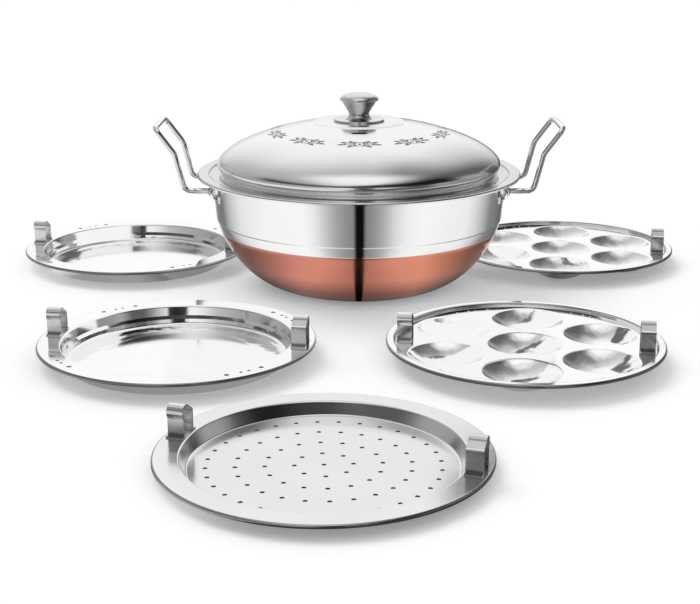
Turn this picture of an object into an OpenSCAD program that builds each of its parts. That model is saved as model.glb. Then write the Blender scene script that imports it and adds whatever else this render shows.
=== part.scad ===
// Idli steamer: a copper-bottomed kadai with a domed lid, and the set of five steaming
// plates that stack inside it, laid out round it on the table. Millimetres, +Z up,
// origin on the table under the middle of the pot.

/* [Kadai] */
// Outer radius of the straight wall at its top, under the flange
wall_top_r = 136.8; // [135:0.2:140]
// Height of the flange's top face above the table
pot_h = 108; // [104:0.5:114]
// Sheet thickness of the steel pot
pot_sheet = 1.2; // [0.8:0.1:1.6]
// Radius of the flat bottom
base_r = 62; // [54:0.5:72]
// Height at which the curved bowl meets the straight wall
belly_h = 64.5; // [58:0.5:68]
// How far the straight wall leans in from its top to its foot
wall_taper = 3.2; // [1:0.1:5]
// How far the straight wall stands proud of the bowl below it
belly_step = 1.2; // [0.6:0.1:1.8]
// Width of the flange outside the ledge
flange_w = 9.4; // [7:0.1:14]
// Width of the ledge that the lid sits on, inside the flange
seat_w = 3.8; // [3:0.1:4.6]
// Depth of the ledge below the flange's top face
seat_drop = 2; // [1.5:0.1:3]
// How far the flange's rim turns down
flange_hem = 1.5; // [0.8:0.1:2.5]

/* [Copper bottom] */
// Height that the copper reaches up the bowl
copper_h = 55; // [40:0.5:56]
// Thickness of the copper layer
copper_t = 0.6; // [0.4:0.05:1]

/* [Handles] */
// Diameter of the handle wire
wire_d = 5; // [4:0.1:6]
// Distance between the two rods of a handle
handle_span = 68; // [56:0.5:76]
// Depth of the handle's level run below the flange's top face
wire_drop = 13; // [11:0.1:15.5]
// Distance from the flange's edge to the bend at the end of the level run
bend_out = 9; // [6:0.5:13]
// Distance from the flange's edge to the kink in the upright
kink_out = 17.5; // [16:0.5:20]
// Height of the kink in the upright above the flange
kink_rise = 21; // [14:0.5:24]
// Distance from the flange's edge to the top bar
grip_out = 34.5; // [30:0.5:40]
// Height of the top bar above the flange
grip_rise = 44; // [38:0.5:50]
// Bend radius of the wire at the top corners and the lower bend
wire_bend = 7; // [5.5:0.5:8]
// Bend radius of the wire where it hooks on to the wall
hook_bend = 4.5; // [3.6:0.1:5]
// Angle round the wall that each hook runs
hook_turn = 5; // [4:0.1:6]

/* [Handle brackets] */
// Sheet thickness of a bracket
bracket_t = 1; // [0.8:0.1:1.2]
// Height of a bracket
bracket_h = 19; // [17:0.5:20]
// Angle round the pot from a bracket's middle to its end
bracket_half = 20.6; // [20:0.1:22]
// Length round the wall of the hump that holds the wire
hump_w = 7.5; // [6:0.1:9]
// Radius of a spot weld's dimple
weld_r = 2.2; // [1.5:0.1:3]

/* [Lid] */
// Width of the lid's lip outside its skirt
lip_w = 10.4; // [8:0.1:14]
// How far the dome's rolled edge stands out over the skirt
dome_over = 3; // [2:0.1:4.5]
// Height of the dome's edge above the flange
skirt_h = 7.6; // [6:0.1:9]
// Height of the raised middle above the dome's edge
dome_h = 43.4; // [38:0.2:48]
// Sheet thickness of the lid
lid_sheet = 1; // [0.8:0.1:1.2]
// Clearance between the lid's lip and the flange round it
lid_gap = 0.6; // [0.4:0.1:1]
// Radius of the raised flat in the middle of the lid
boss_r = 41; // [38:0.5:44]
// Height of the raised flat above the dome round it
boss_rise = 1.6; // [1:0.1:2.5]
// Length of the steam slot
vent_l = 14; // [10:0.5:18]
// Width of the steam slot
vent_w = 4; // [3:0.1:5]
// Distance from the lid's axis to the steam slot
vent_at = 55; // [51:0.5:62]

/* [Knob] */
// Radius of the disc under the knob
rose_r = 23.6; // [20:0.2:27]
// Thickness of the disc under the knob
rose_t = 1.6; // [1:0.1:2.4]
// Radius of the knob's foot
foot_r = 12.4; // [11:0.1:14]
// Radius of the knob's neck
neck_r = 9.2; // [8:0.1:10]
// Height of the knob's body
knob_h = 16.5; // [14:0.5:20]
// Radius of the knob's body under the cap
shoulder_r = 15.9; // [14.5:0.1:16.2]
// Radius of the knob's cap
cap_r = 18; // [17.5:0.1:20]
// Height of the knob's cap
cap_h = 7.2; // [6:0.1:9]
// Radius of the knob's screw
screw_r = 2.5; // [2:0.1:3]
// Depth of the screw in the knob
screw_deep = 12; // [8:0.5:13]

/* [Plates] */
// Radius of a steaming plate
plate_r = 110; // [106:0.5:112]
// Sheet thickness of a plate
plate_sheet = 1; // [0.7:0.1:1.2]
// How far a plate's edge turns down
plate_hem = 1.6; // [1.2:0.1:2.4]
// Width of the flange of a dhokla plate
dhokla_flange = 18; // [17:0.5:20]
// Depth of a dhokla plate
dhokla_deep = 15.5; // [12:0.5:17]
// Width of the flange of the steam plate
steam_flange = 17; // [16:0.5:20]
// Depth of the steam plate
steam_deep = 9.5; // [8:0.5:12]
// Radius of a steam hole
steam_hole_r = 1.6; // [1:0.1:2]
// Distance between the rings of steam holes
steam_pitch = 19; // [17:0.2:20]
// Width of the rim of an idli plate
idli_rim = 6.5; // [5:0.1:7]
// Height of the rim of an idli plate above its sheet
idli_rim_h = 3.5; // [2.5:0.1:5]
// Radius of an idli cup at its mouth
cup_r = 30.5; // [26:0.5:31]
// Depth of an idli cup
cup_deep = 12; // [9:0.5:14]
// Distance from the plate's axis to an outer cup's axis
cup_pitch = 68.5; // [67.5:0.5:69]
// Radius of a large flange hole
big_hole_r = 2; // [1.5:0.1:2.4]
// Radius of a small flange hole
small_hole_r = 1.3; // [1:0.1:1.8]

/* [Clips] */
// Width of a clip's strip
clip_w = 11.5; // [9:0.5:12]
// Thickness of a clip's strip
clip_t = 1.1; // [0.8:0.1:1.4]
// Height of a clip
clip_h = 22; // [20:0.5:26]
// Clear width between a clip's legs
clip_gap = 13; // [12:0.5:15]
// Height of a clip's plain leg up to its corner
clip_leg = 15; // [12:0.5:16]
// Inner radius of a clip's rolled end
clip_roll = 4.2; // [3.6:0.1:4.6]
// Length of a clip's foot
clip_foot = 4.5; // [3:0.5:5]

/* [Layout on the table] */
// Place of the steam plate's axis across the table
steam_x = -25; // [-60:1:20]
// Place of the steam plate's axis along the table
steam_y = -450; // [-480:1:-450]
// Place of the front dhokla plate's axis across the table
dhokla_front_x = -145; // [-150:1:-142]
// Place of the front dhokla plate's axis along the table
dhokla_front_y = -230; // [-234:1:-226]
// Place of the rear dhokla plate's axis across the table
dhokla_rear_x = -223; // [-240:1:-218]
// Place of the rear dhokla plate's axis along the table
dhokla_rear_y = 80; // [76:1:110]
// Place of the front idli plate's axis across the table
idli_front_x = 130; // [128:1:136]
// Place of the front idli plate's axis along the table
idli_front_y = -233; // [-236:1:-230]
// Place of the rear idli plate's axis across the table
idli_rear_x = 205; // [202:1:230]
// Place of the rear idli plate's axis along the table
idli_rear_y = 84; // [80:1:110]
// How far the dhokla and idli plates are turned on the table
plate_turn = -9; // [-15:1:-5]
// How far the steam plate is turned on the table
steam_turn = -18; // [-25:1:-5]

/* [Hidden] */
$fn = 96;

// Colours
steel = [0.80, 0.80, 0.81];
satin_steel = [0.70, 0.70, 0.71];
copper = [0.80, 0.47, 0.37];

// Clearances
seam = 0.05;       // between layers that are bonded or welded
wire_gap = 0.1;    // between the wire and the wall it lies on
hump_gap = 0.4;    // between the wire and the hump over it
thread_gap = 0.05; // round the knob's screw

// Pot
skin = copper_t + seam;
seat_top = pot_h - seat_drop;
seat_r = wall_top_r + seat_w - pot_sheet;   // radius of the recess that holds the lid's lip
flange_r = seat_r + pot_sheet + flange_w;
wall_foot_r = wall_top_r - wall_taper;
belly_r = wall_foot_r - belly_step;         // outer radius where the curved bowl meets the wall
flange_under = pot_h - pot_sheet;
curve_steps = 18;

// The bowl's outer radius at a height: a superellipse from the flat bottom to the belly.
function bowl_r(z) = base_r + (belly_r - base_r) * sqrt(1 - pow(1 - z / belly_h, 1.4));
// The straight wall leans out a little from the belly to the flange.
wall_foot_z = belly_h + pot_sheet;
function wall_r(z) = wall_foot_r
    + (wall_top_r - wall_foot_r) * (z - wall_foot_z) / (seat_top - pot_sheet - wall_foot_z);
// Heights along the bowl's curve, closer together near the bottom where it turns fastest.
function curve_z(i, top) = top * pow(i / curve_steps, 2);

// Sheet metal: the closed outline of a sheet of even thickness. The path is one face, and
// the sheet lies on its left as one walks along it.
function seg_normal(p, i) = let (d = p[i + 1] - p[i]) [-d[1], d[0]] / norm(d);
function mitre(a, b) = let (m = (a + b) / norm(a + b)) m / (m * a);
function point_normal(p, i) =
    i == 0 ? seg_normal(p, 0)
    : i == len(p) - 1 ? seg_normal(p, i - 1)
    : mitre(seg_normal(p, i - 1), seg_normal(p, i));
function sheet(p, t) = concat(p, [for (i = [len(p) - 1 : -1 : 0]) p[i] + t * point_normal(p, i)]);
// Points of an arc from one angle to another.
function arc(c, r, from, to, n = 6) = [for (i = [0 : n]) let (a = from + (to - from) * i / n)
    c + r * [cos(a), sin(a)]];

// A ring sector: the part of a revolved outline between two angles.
module sector(outline, from, to) {
    rotate([0, 0, from]) rotate_extrude(angle = to - from) polygon(outline);
}

// Kadai

// The copper is the outside of the lower bowl. The steel under it follows the same curve,
// one skin further in, and steps out above the copper's edge.
copper_path = concat(
    [[0, 0], [base_r, 0]],
    [for (i = [1 : curve_steps]) let (z = curve_z(i, copper_h)) [bowl_r(z), z]]);

bowl_path = concat(
    [[0, skin]],
    [for (i = [1 : len(copper_path) - 1]) copper_path[i] + skin * point_normal(copper_path, i)],
    [for (z = [copper_h + 0.9, (copper_h + belly_h) / 2]) [bowl_r(z), z]],
    [[belly_r, belly_h],
     [wall_foot_r, wall_foot_z], [wall_top_r, seat_top - pot_sheet],
     [seat_r + pot_sheet, seat_top - pot_sheet], [seat_r + pot_sheet, flange_under],
     [flange_r - pot_sheet, flange_under], [flange_r - pot_sheet, flange_under - flange_hem]]);

module kadai_bowl() {
    color(steel) rotate_extrude() polygon(sheet(bowl_path, pot_sheet));
}

module copper_base() {
    color(copper) rotate_extrude() polygon(sheet(copper_path, copper_t));
}

// Handles: a wire bent in one piece. Each end comes in level, turns along the wall
// through its bracket's hump, and ends in a hook that turns up under the flange.

wire_r = wire_d / 2;
wire_z = pot_h - wire_drop;
hook_top = seat_top - pot_sheet - 0.6;
wire_wall_r = wall_r(hook_top) + wire_r + wire_gap;   // radius of the wire's centreline round the wall
hook_from = asin((handle_span / 2 + hook_bend) / (wire_wall_r + hook_bend));
hook_to = hook_from + hook_turn;
run_start = (wire_wall_r + hook_bend) * cos(hook_from);
bend_slim = 0.02;
bend_lap = 0.3;

function unit(v) = v / norm(v);
// Distance from a corner to where its bend starts.
function trim(p, i, r) = let (a = unit(p[i - 1] - p[i]), b = unit(p[i + 1] - p[i]))
    r / tan(acos(a * b) / 2);

// A round bar from one point to another.
module rod(a, b, r) {
    d = b - a;
    translate(a) rotate([0, acos(d[2] / norm(d)), atan2(d[1], d[0])]) cylinder(h = norm(d), r = r);
}

// A bend that starts at point p, heading along dir, and turns towards side. It is drawn
// slightly thinner than the straight runs, and reaches a little way into each of them.
module elbow(p, dir, side, turn, bend, r) {
    z = cross(dir, side);
    c = p + bend * side;
    lap = bend_lap / bend * 180 / PI;
    multmatrix([[-side[0], dir[0], z[0], c[0]],
                [-side[1], dir[1], z[1], c[1]],
                [-side[2], dir[2], z[2], c[2]],
                [0, 0, 0, 1]])
        rotate([0, 0, -lap]) rotate_extrude(angle = turn + 2 * lap)
            translate([bend, 0]) circle(r = r - bend_slim);
}

// The wire along corners p[0] .. p[n], with a bend of radius bends[i] at each inner corner.
module bent_wire(p, bends, r) {
    n = len(p) - 1;
    for (i = [0 : n - 1]) {
        d = unit(p[i + 1] - p[i]);
        from = i == 0 ? 0 : trim(p, i, bends[i]);
        to = i == n - 1 ? 0 : trim(p, i + 1, bends[i + 1]);
        rod(p[i] + from * d, p[i + 1] - to * d, r);
    }
    for (i = [1 : n - 1]) {
        a = unit(p[i] - p[i - 1]);
        b = unit(p[i + 1] - p[i]);
        elbow(p[i] - trim(p, i, bends[i]) * a, a, unit(b - (a * b) * a), acos(a * b), bends[i], r);
    }
}

grip_corners = let (y = handle_span / 2) [
    [run_start, y, wire_z], [flange_r + bend_out, y, wire_z], [flange_r + kink_out, y, pot_h + kink_rise],
    [flange_r + grip_out, y, pot_h + grip_rise], [flange_r + grip_out, -y, pot_h + grip_rise],
    [flange_r + kink_out, -y, pot_h + kink_rise], [flange_r + bend_out, -y, wire_z], [run_start, -y, wire_z]];
grip_bends = [0, wire_bend, 2 * wire_bend, wire_bend, wire_bend, 2 * wire_bend, wire_bend, 0];

// One end of the wire, on the +Y side: the turn on to the wall, the run along it and the
// hook that turns up.
module wire_hook(r) {
    elbow([run_start, handle_span / 2, wire_z], [-1, 0, 0], [0, 1, 0], 90 + hook_from, hook_bend, r);
    rotate([0, 0, hook_from]) rotate_extrude(angle = hook_turn)
        translate([wire_wall_r, wire_z]) circle(r = r);
    end = [wire_wall_r * cos(hook_to), wire_wall_r * sin(hook_to), wire_z];
    along = [-sin(hook_to), cos(hook_to), 0];
    elbow(end, along, [0, 0, 1], 90, hook_bend, r);
    up = end + hook_bend * (along + [0, 0, 1]);
    rod(up, [up[0], up[1], hook_top], r);
}

module handle() {
    color(steel) {
        bent_wire(grip_corners, grip_bends, wire_r);
        wire_hook(wire_r);
        mirror([0, 1, 0]) wire_hook(wire_r);
    }
}

module handle_right() { handle(); }
module handle_left() { rotate([0, 0, 180]) handle(); }

// Brackets: a strap spot-welded to the wall, with a hump at each end over the wire.

bracket_foot = 2;
bracket_low = wire_z - bracket_h / 2;
bracket_high = min(wire_z + bracket_h / 2, seat_top - pot_sheet - 0.4);
hump_low = bracket_low + bracket_foot;
hump_high = bracket_high - bracket_foot;
hump_rise = wire_wall_r + wire_r + hump_gap - wall_r(wire_z) - seam;
hump_from = hook_from + 0.4;
hump_to = hump_from + asin(hump_w / wire_wall_r);

// The strap's inner face from the bottom up, clear of the wall.
function strap_line(z) = [wall_r(z) + seam, z];
strap_outline = sheet([strap_line(bracket_high), strap_line(bracket_low)], bracket_t);
// The hump's inner face: feet on the wall, and between them a smooth rise over the wire.
hump_outline = sheet(concat(
    [strap_line(bracket_high), strap_line(hump_high)],
    [for (i = [1 : 11]) let (s = i / 12, z = hump_high + (hump_low - hump_high) * s)
        strap_line(z) + [hump_rise * pow(sin(180 * s), 0.6), 0]],
    [strap_line(hump_low), strap_line(bracket_low)]), bracket_t);

module ring_window(low, high, from, to) {
    sector([[wall_r(wire_z) - 6, low], [wall_r(wire_z) + 12, low],
            [wall_r(wire_z) + 12, high], [wall_r(wire_z) - 6, high]], from, to);
}

module handle_bracket() {
    color(satin_steel) difference() {
        union() {
            difference() {
                sector(strap_outline, -bracket_half, bracket_half);
                for (s = [0, 1]) mirror([0, s, 0]) {
                    ring_window(hump_low, hump_high, hump_from, hump_to);
                    ring_window(wire_z - wire_r - 0.8, wire_z + wire_r + 0.8, hook_from - 3, bracket_half + 1);
                }
            }
            for (s = [0, 1]) mirror([0, s, 0]) sector(hump_outline, hump_from, hump_to);
        }
        for (a = [-6, 0, 6]) rotate([0, 0, a])
            translate([wall_r(wire_z) + seam + bracket_t - 0.35, 0, wire_z])
                rotate([0, 90, 0]) cylinder(h = 3, r = weld_r);
    }
}

module handle_bracket_right() { handle_bracket(); }
module handle_bracket_left() { rotate([0, 0, 180]) handle_bracket(); }

// Lid

lid_foot = seat_top + seam;                 // the lip's underside, on the pot's ledge
lip_r = seat_r - lid_gap;
skirt_r = lip_r - lip_w;
dome_r = skirt_r + dome_over;
dome_z = pot_h + skirt_h;
edge_roll = dome_over / 2;
dome_steps = 16;
boss_slope = 4;
// The dome's outer height at a radius: a superellipse from the rolled edge to the middle.
dome_crown = dome_h - boss_rise;
function dome_surface(r) = dome_z + dome_crown * pow(1 - pow(r / dome_r, 1.6), 0.57);
boss_foot_r = boss_r + boss_slope;
boss_z = dome_surface(boss_foot_r) + boss_rise;

// The lid's outer face, walked from its lip up the skirt, round the rolled edge and over
// the dome to the axis. The sheet lies on its left, inside.
lid_path = concat(
    [[lip_r, lid_foot + lid_sheet], [skirt_r + 1, lid_foot + lid_sheet], [skirt_r, lid_foot + lid_sheet + 1],
     [skirt_r, dome_z - 2 * edge_roll]],
    arc([dome_r - edge_roll, dome_z - edge_roll], edge_roll, -80, 60, 6),
    [for (i = [1 : dome_steps]) let (s = i / dome_steps,
        r = (dome_r - 1.2) * sqrt(1 - s) + boss_foot_r * (1 - sqrt(1 - s))) [r, dome_surface(r)]],
    [[boss_r + 1, boss_z - 0.25], [boss_r - 1, boss_z], [0, boss_z]]);

module steam_slot() {
    translate([0, -vent_at, dome_surface(vent_at) - 12]) {
        for (s = [-1, 1]) translate([s * (vent_l - vent_w) / 2, 0, 0]) cylinder(h = 24, r = vent_w / 2);
        translate([-(vent_l - vent_w) / 2, -vent_w / 2, 0]) cube([vent_l - vent_w, vent_w, 24]);
    }
}

module lid_shell() {
    color(steel) difference() {
        rotate_extrude() polygon(sheet(lid_path, lid_sheet));
        steam_slot();
        translate([0, 0, boss_z - 5]) cylinder(h = 10, r = screw_r + thread_gap);
    }
}

// Knob: a disc on the lid, the body and its cap, held by a screw from below.

rose_z = boss_z;
foot_z = rose_z + rose_t;
knob_top = foot_z + knob_h;

module knob_rose() {
    color(steel) difference() {
        translate([0, 0, rose_z]) rotate_extrude() polygon(concat([[0, 0], [rose_r - 0.4, 0]],
            [[rose_r, 0.4], [rose_r, rose_t - 0.5], [rose_r - 0.5, rose_t], [0, rose_t]]));
        translate([0, 0, rose_z - 1]) cylinder(h = rose_t + 2, r = screw_r + thread_gap);
    }
}

// The body's outline: a flared foot, a neck a fifth of the way up and a flare to the shoulder.
neck_at = 4.2;
function body_r(z) = z < neck_at ? neck_r + (foot_r - neck_r) * pow(1 - z / neck_at, 1.6)
    : neck_r + (shoulder_r - neck_r) * pow((z - neck_at) / (knob_h - neck_at), 0.85);

module knob_body() {
    color(steel) difference() {
        translate([0, 0, foot_z]) rotate_extrude() polygon(concat([[0, 0]],
            [for (i = [0 : 20]) [body_r(knob_h * i / 20), knob_h * i / 20]], [[0, knob_h]]));
        translate([0, 0, foot_z - 1]) cylinder(h = screw_deep + 1, r = screw_r + thread_gap);
    }
}

module knob_cap() {
    edge = 1.6;
    color(steel) translate([0, 0, knob_top + seam]) rotate_extrude() polygon(concat(
        [[0, 0], [shoulder_r, 0]], arc([cap_r - edge, edge], edge, -75, 60, 5),
        [for (i = [1 : 8]) let (a = 90 * i / 8) [(cap_r - 0.8) * cos(a), 2.6 + (cap_h - 2.6) * sin(a)]]));
}

washer_r = 8;
washer_t = 1;
screw_under = boss_z - lid_sheet;

module screw_washer() {
    color(satin_steel) difference() {
        translate([0, 0, screw_under - washer_t]) cylinder(h = washer_t, r = washer_r);
        translate([0, 0, screw_under - washer_t - 1]) cylinder(h = washer_t + 2, r = screw_r + thread_gap);
    }
}

module knob_screw() {
    head_h = 2.4;
    slot_w = 1;
    color(satin_steel) difference() {
        translate([0, 0, screw_under - washer_t]) rotate_extrude() polygon([[0, -head_h],
            [3.4, -head_h], [5, -head_h + 1.4], [5, 0], [screw_r, 0],
            [screw_r, lid_sheet + washer_t + rose_t + screw_deep - 0.5],
            [0, lid_sheet + washer_t + rose_t + screw_deep - 0.5]]);
        translate([-6, -slot_w / 2, screw_under - washer_t - head_h - 0.1]) cube([12, slot_w, 1.1]);
    }
}

// Plates. Each is drawn round its own axis, standing on the table, and then put in place.

wall_lean = 3.5;
rim_corner = 1;

// A dished plate's outer face from the axis: floor, leaning wall, flange and turned edge.
function dish_path(flange, deep) = let (r = plate_r - flange) [
    [0, 0], [r - wall_lean - 1.6, 0], [r - wall_lean, 1.2], [r, deep - rim_corner],
    [r + rim_corner, deep], [plate_r - plate_sheet, deep],
    [plate_r - plate_sheet, deep - plate_hem]];

module dish(flange, deep) {
    rotate_extrude() polygon(sheet(dish_path(flange, deep), plate_sheet));
}

// Groups of holes through a flange: two large ones with two small ones between them.
big_hole_turn = 8.5;
small_hole_turn = 1.9;
module flange_holes(r, z, turns, large) {
    for (a = turns) {
        for (s = [-1, 1]) {
            rotate([0, 0, a + s * small_hole_turn]) translate([r, 0, z - 3]) cylinder(h = 6, r = small_hole_r);
            rotate([0, 0, a + s * big_hole_turn]) translate([r, 0, z - 3]) cylinder(h = 6, r = large);
        }
    }
}

module dhokla_plate() {
    color(steel) difference() {
        dish(dhokla_flange, dhokla_deep);
        flange_holes(plate_r - dhokla_flange / 2, dhokla_deep, [45, 135, 225, 315], big_hole_r);
    }
}

module steam_plate_shape() {
    color(steel) difference() {
        dish(steam_flange, steam_deep);
        translate([0, 0, -1]) cylinder(h = 4, r = steam_hole_r);
        for (ring = [1 : 4], k = [0 : 8 * ring - 1])
            rotate([0, 0, (k + ring / 2) * 45 / ring]) translate([ring * steam_pitch, 0, -1])
                cylinder(h = 4, r = steam_hole_r);
    }
}

// An idli plate: a sheet with a raised rim, and cups pressed down into it.
idli_sheet_z = cup_deep;    // underside of the sheet, over cups that stand on the table
idli_well_r = plate_r - idli_rim;
cup_sphere = (cup_r * cup_r + cup_deep * cup_deep) / (2 * cup_deep);
cup_flat = 8;
// A cup's outer height above the table at a radius, part of a sphere with a small flat.
function cup_z(r) = let (drop = cup_sphere - sqrt(cup_sphere * cup_sphere - r * r),
    low = cup_sphere - sqrt(cup_sphere * cup_sphere - cup_flat * cup_flat))
    cup_deep * max(0, drop - low) / (cup_deep - low);
cup_path = [for (i = [0 : 12]) let (r = i == 0 ? 0 : cup_flat + (cup_r - cup_flat) * (i - 1) / 11)
    [r, cup_z(r)]];

module cup_outside() {
    rotate_extrude() polygon(concat(cup_path, [[cup_r, cup_deep + plate_sheet / 2], [0, cup_deep + plate_sheet / 2]]));
}

module cup_inside() {
    mouth = cup_r + 0.8;
    rotate_extrude() polygon(concat(
        [for (i = [0 : 11]) cup_path[i] + [0, plate_sheet]],
        [[cup_r - 0.6, cup_deep + plate_sheet - 0.6], [mouth, cup_deep + plate_sheet],
         [mouth, cup_deep + plate_sheet + 1], [0, cup_deep + plate_sheet + 1]]));
}

cup_places = concat([[0, 0]], [for (k = [0 : 5]) cup_pitch * [cos(30 + 60 * k), sin(30 + 60 * k)]]);

module idli_plate() {
    z = idli_sheet_z;
    color(steel) difference() {
        union() {
            rotate_extrude() polygon(sheet([[0, z], [idli_well_r - 1.2, z], [idli_well_r, z + 1.2],
                [idli_well_r, z + idli_rim_h - 0.8], [idli_well_r + 0.8, z + idli_rim_h],
                [plate_r - plate_sheet, z + idli_rim_h],
                [plate_r - plate_sheet, z + idli_rim_h - plate_hem]], plate_sheet));
            for (c = cup_places) translate([c[0], c[1], 0]) cup_outside();
        }
        for (c = cup_places) translate([c[0], c[1], 0]) cup_inside();
        flange_holes(idli_well_r - 7, z, [60, 120, 240, 300], small_hole_r);
    }
}

// Clips: a strip bent into an arch, welded to the plate by its feet. One side of the
// arch is rolled out beyond its leg, and the other slopes down to a corner.

clip_half = clip_gap / 2;
roll_c = [clip_half + 1.3 - clip_roll, clip_h - clip_t - clip_roll];
clip_path = concat(
    [[-clip_half - clip_foot, 0], [-clip_half - 0.8, 0], [-clip_half, 0.8], [-clip_half, clip_leg - 0.7],
     [-clip_half + 0.8, clip_leg + 0.4]],
    arc(roll_c, clip_roll, 118, -38, 10),
    [[clip_half, roll_c[1] - clip_roll * 0.95], [clip_half, 0.8], [clip_half + 0.8, 0],
     [clip_half + clip_foot, 0]]);

module clip() {
    color(satin_steel) translate([-clip_w / 2, 0, 0]) rotate([90, 0, 90])
        linear_extrude(height = clip_w) polygon(sheet(clip_path, clip_t));
}

// Puts a piece that is drawn round a plate's axis in that plate's place.
module at_plate(x, y, turn) { translate([x, y, 0]) rotate([0, 0, turn]) children(); }

// A clip on the right (side 0) or the left (side 1) of a plate, standing at height z.
module clip_on(side, r, z) { rotate([0, 0, 180 * side]) translate([r, 0, z]) clip(); }

dhokla_clip_r = plate_r - dhokla_flange + 1.4 + clip_w / 2;
steam_clip_r = plate_r - steam_flange + 1.4 + clip_w / 2;
idli_clip_r = idli_well_r - 2.6 - clip_w / 2;
dhokla_clip_z = dhokla_deep + plate_sheet;
steam_clip_z = steam_deep + plate_sheet;
idli_clip_z = idli_sheet_z + plate_sheet;

module at_dhokla_front() { at_plate(dhokla_front_x, dhokla_front_y, plate_turn) children(); }
module at_dhokla_rear() { at_plate(dhokla_rear_x, dhokla_rear_y, plate_turn) children(); }
module at_idli_front() { at_plate(idli_front_x, idli_front_y, plate_turn) children(); }
module at_idli_rear() { at_plate(idli_rear_x, idli_rear_y, plate_turn) children(); }
module at_steam() { at_plate(steam_x, steam_y, steam_turn) children(); }

module dhokla_plate_front() { at_dhokla_front() dhokla_plate(); }
module dhokla_front_clip_left() { at_dhokla_front() clip_on(1, dhokla_clip_r, dhokla_clip_z); }
module dhokla_front_clip_right() { at_dhokla_front() clip_on(0, dhokla_clip_r, dhokla_clip_z); }
module dhokla_plate_rear() { at_dhokla_rear() dhokla_plate(); }
module dhokla_rear_clip_left() { at_dhokla_rear() clip_on(1, dhokla_clip_r, dhokla_clip_z); }
module dhokla_rear_clip_right() { at_dhokla_rear() clip_on(0, dhokla_clip_r, dhokla_clip_z); }
module idli_plate_front() { at_idli_front() idli_plate(); }
module idli_front_clip_left() { at_idli_front() clip_on(1, idli_clip_r, idli_clip_z); }
module idli_front_clip_right() { at_idli_front() clip_on(0, idli_clip_r, idli_clip_z); }
module idli_plate_rear() { at_idli_rear() idli_plate(); }
module idli_rear_clip_left() { at_idli_rear() clip_on(1, idli_clip_r, idli_clip_z); }
module idli_rear_clip_right() { at_idli_rear() clip_on(0, idli_clip_r, idli_clip_z); }
module steam_plate() { at_steam() steam_plate_shape(); }
module steam_clip_left() { at_steam() clip_on(1, steam_clip_r, steam_clip_z); }
module steam_clip_right() { at_steam() clip_on(0, steam_clip_r, steam_clip_z); }

kadai_bowl();
copper_base();
handle_left();
handle_right();
handle_bracket_left();
handle_bracket_right();
lid_shell();
knob_rose();
knob_body();
knob_cap();
knob_screw();
screw_washer();
dhokla_plate_front();
dhokla_front_clip_left();
dhokla_front_clip_right();
dhokla_plate_rear();
dhokla_rear_clip_left();
dhokla_rear_clip_right();
idli_plate_front();
idli_front_clip_left();
idli_front_clip_right();
idli_plate_rear();
idli_rear_clip_left();
idli_rear_clip_right();
steam_plate();
steam_clip_left();
steam_clip_right();
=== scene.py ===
"""Idli steamer: a copper-bottomed kadai with a domed lid, and its five steaming plates laid out on a white table.

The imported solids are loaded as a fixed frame. Each visible piece is drawn over them as a smooth surface worked out
with numpy, and gets its own finish. Sizes in the shape functions are millimetres; Blender's own are metres.
"""

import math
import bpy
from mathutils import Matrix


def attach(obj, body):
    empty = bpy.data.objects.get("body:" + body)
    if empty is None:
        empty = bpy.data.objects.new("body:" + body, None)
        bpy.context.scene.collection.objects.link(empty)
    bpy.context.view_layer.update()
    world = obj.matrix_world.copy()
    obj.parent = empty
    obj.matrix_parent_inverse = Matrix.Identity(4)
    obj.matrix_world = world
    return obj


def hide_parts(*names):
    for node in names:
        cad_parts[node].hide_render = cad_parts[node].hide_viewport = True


bl_info = {
    "name": "Idli steamer",
    "version": (1, 0, 0),
    "blender": (4, 5, 0),
    "location": "3D View > Sidebar > Steamer",
    "description": "Polished steel and copper surfaces, finishes and a white studio for the idli steamer",
    "category": "Object",
}

from functools import partialmethod, reduce
from types import SimpleNamespace

import bmesh
import bpy
import numpy as np
from bpy.props import FloatProperty, FloatVectorProperty, IntProperty, PointerProperty
from mathutils import Vector
from mathutils.geometry import delaunay_2d_cdt

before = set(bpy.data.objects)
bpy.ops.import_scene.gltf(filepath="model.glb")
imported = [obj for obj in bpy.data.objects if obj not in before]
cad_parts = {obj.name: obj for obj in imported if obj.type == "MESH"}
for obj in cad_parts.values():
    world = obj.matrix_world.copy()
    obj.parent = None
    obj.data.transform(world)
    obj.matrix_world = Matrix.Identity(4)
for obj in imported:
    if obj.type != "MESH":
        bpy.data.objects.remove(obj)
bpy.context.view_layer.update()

MM = 0.001
TURNS = 192          # steps round a large turned piece
CUP_TURNS = 72       # steps round an idli cup
HOLE_STEPS = 16      # steps round a small hole
KNOB_TURNS = 96      # steps round the knob
CARD_TURNS = 96      # steps round the studio's round cards
BEND_STEP = 7.5      # degrees between the points of a bend
EDGE_BULGE = 0.7     # how far a sheet's rounded edge stands out, as a share of half its thickness
WELD = 0.004         # millimetres within which points become one
KNOB_SEAM = 0.05     # millimetres between the knob's body and its cap
WELD_TURNS = (-6.0, 0.0, 6.0)     # degrees round the pot from a bracket's middle to its spot welds
BODY_OF_POT = "kadai"
HIDDEN = ("rna_type", "name")     # what every group of settings has besides its own


# ---- Settings ----

def length(name, description, millimetres):
    """A length setting, given in millimetres and kept in metres."""
    return FloatProperty(name=name, description=description, default=millimetres * MM, min=0.0,
                         unit="LENGTH", precision=5)


def share(name, description, value):
    """A setting between 0 and 1, such as a roughness."""
    return FloatProperty(name=name, description=description, default=value, min=0.0, max=1.0, subtype="FACTOR")


def colour(name, description, value):
    return FloatVectorProperty(name=name, description=description, default=value, min=0.0, max=1.0,
                               size=3, subtype="COLOR")


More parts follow.
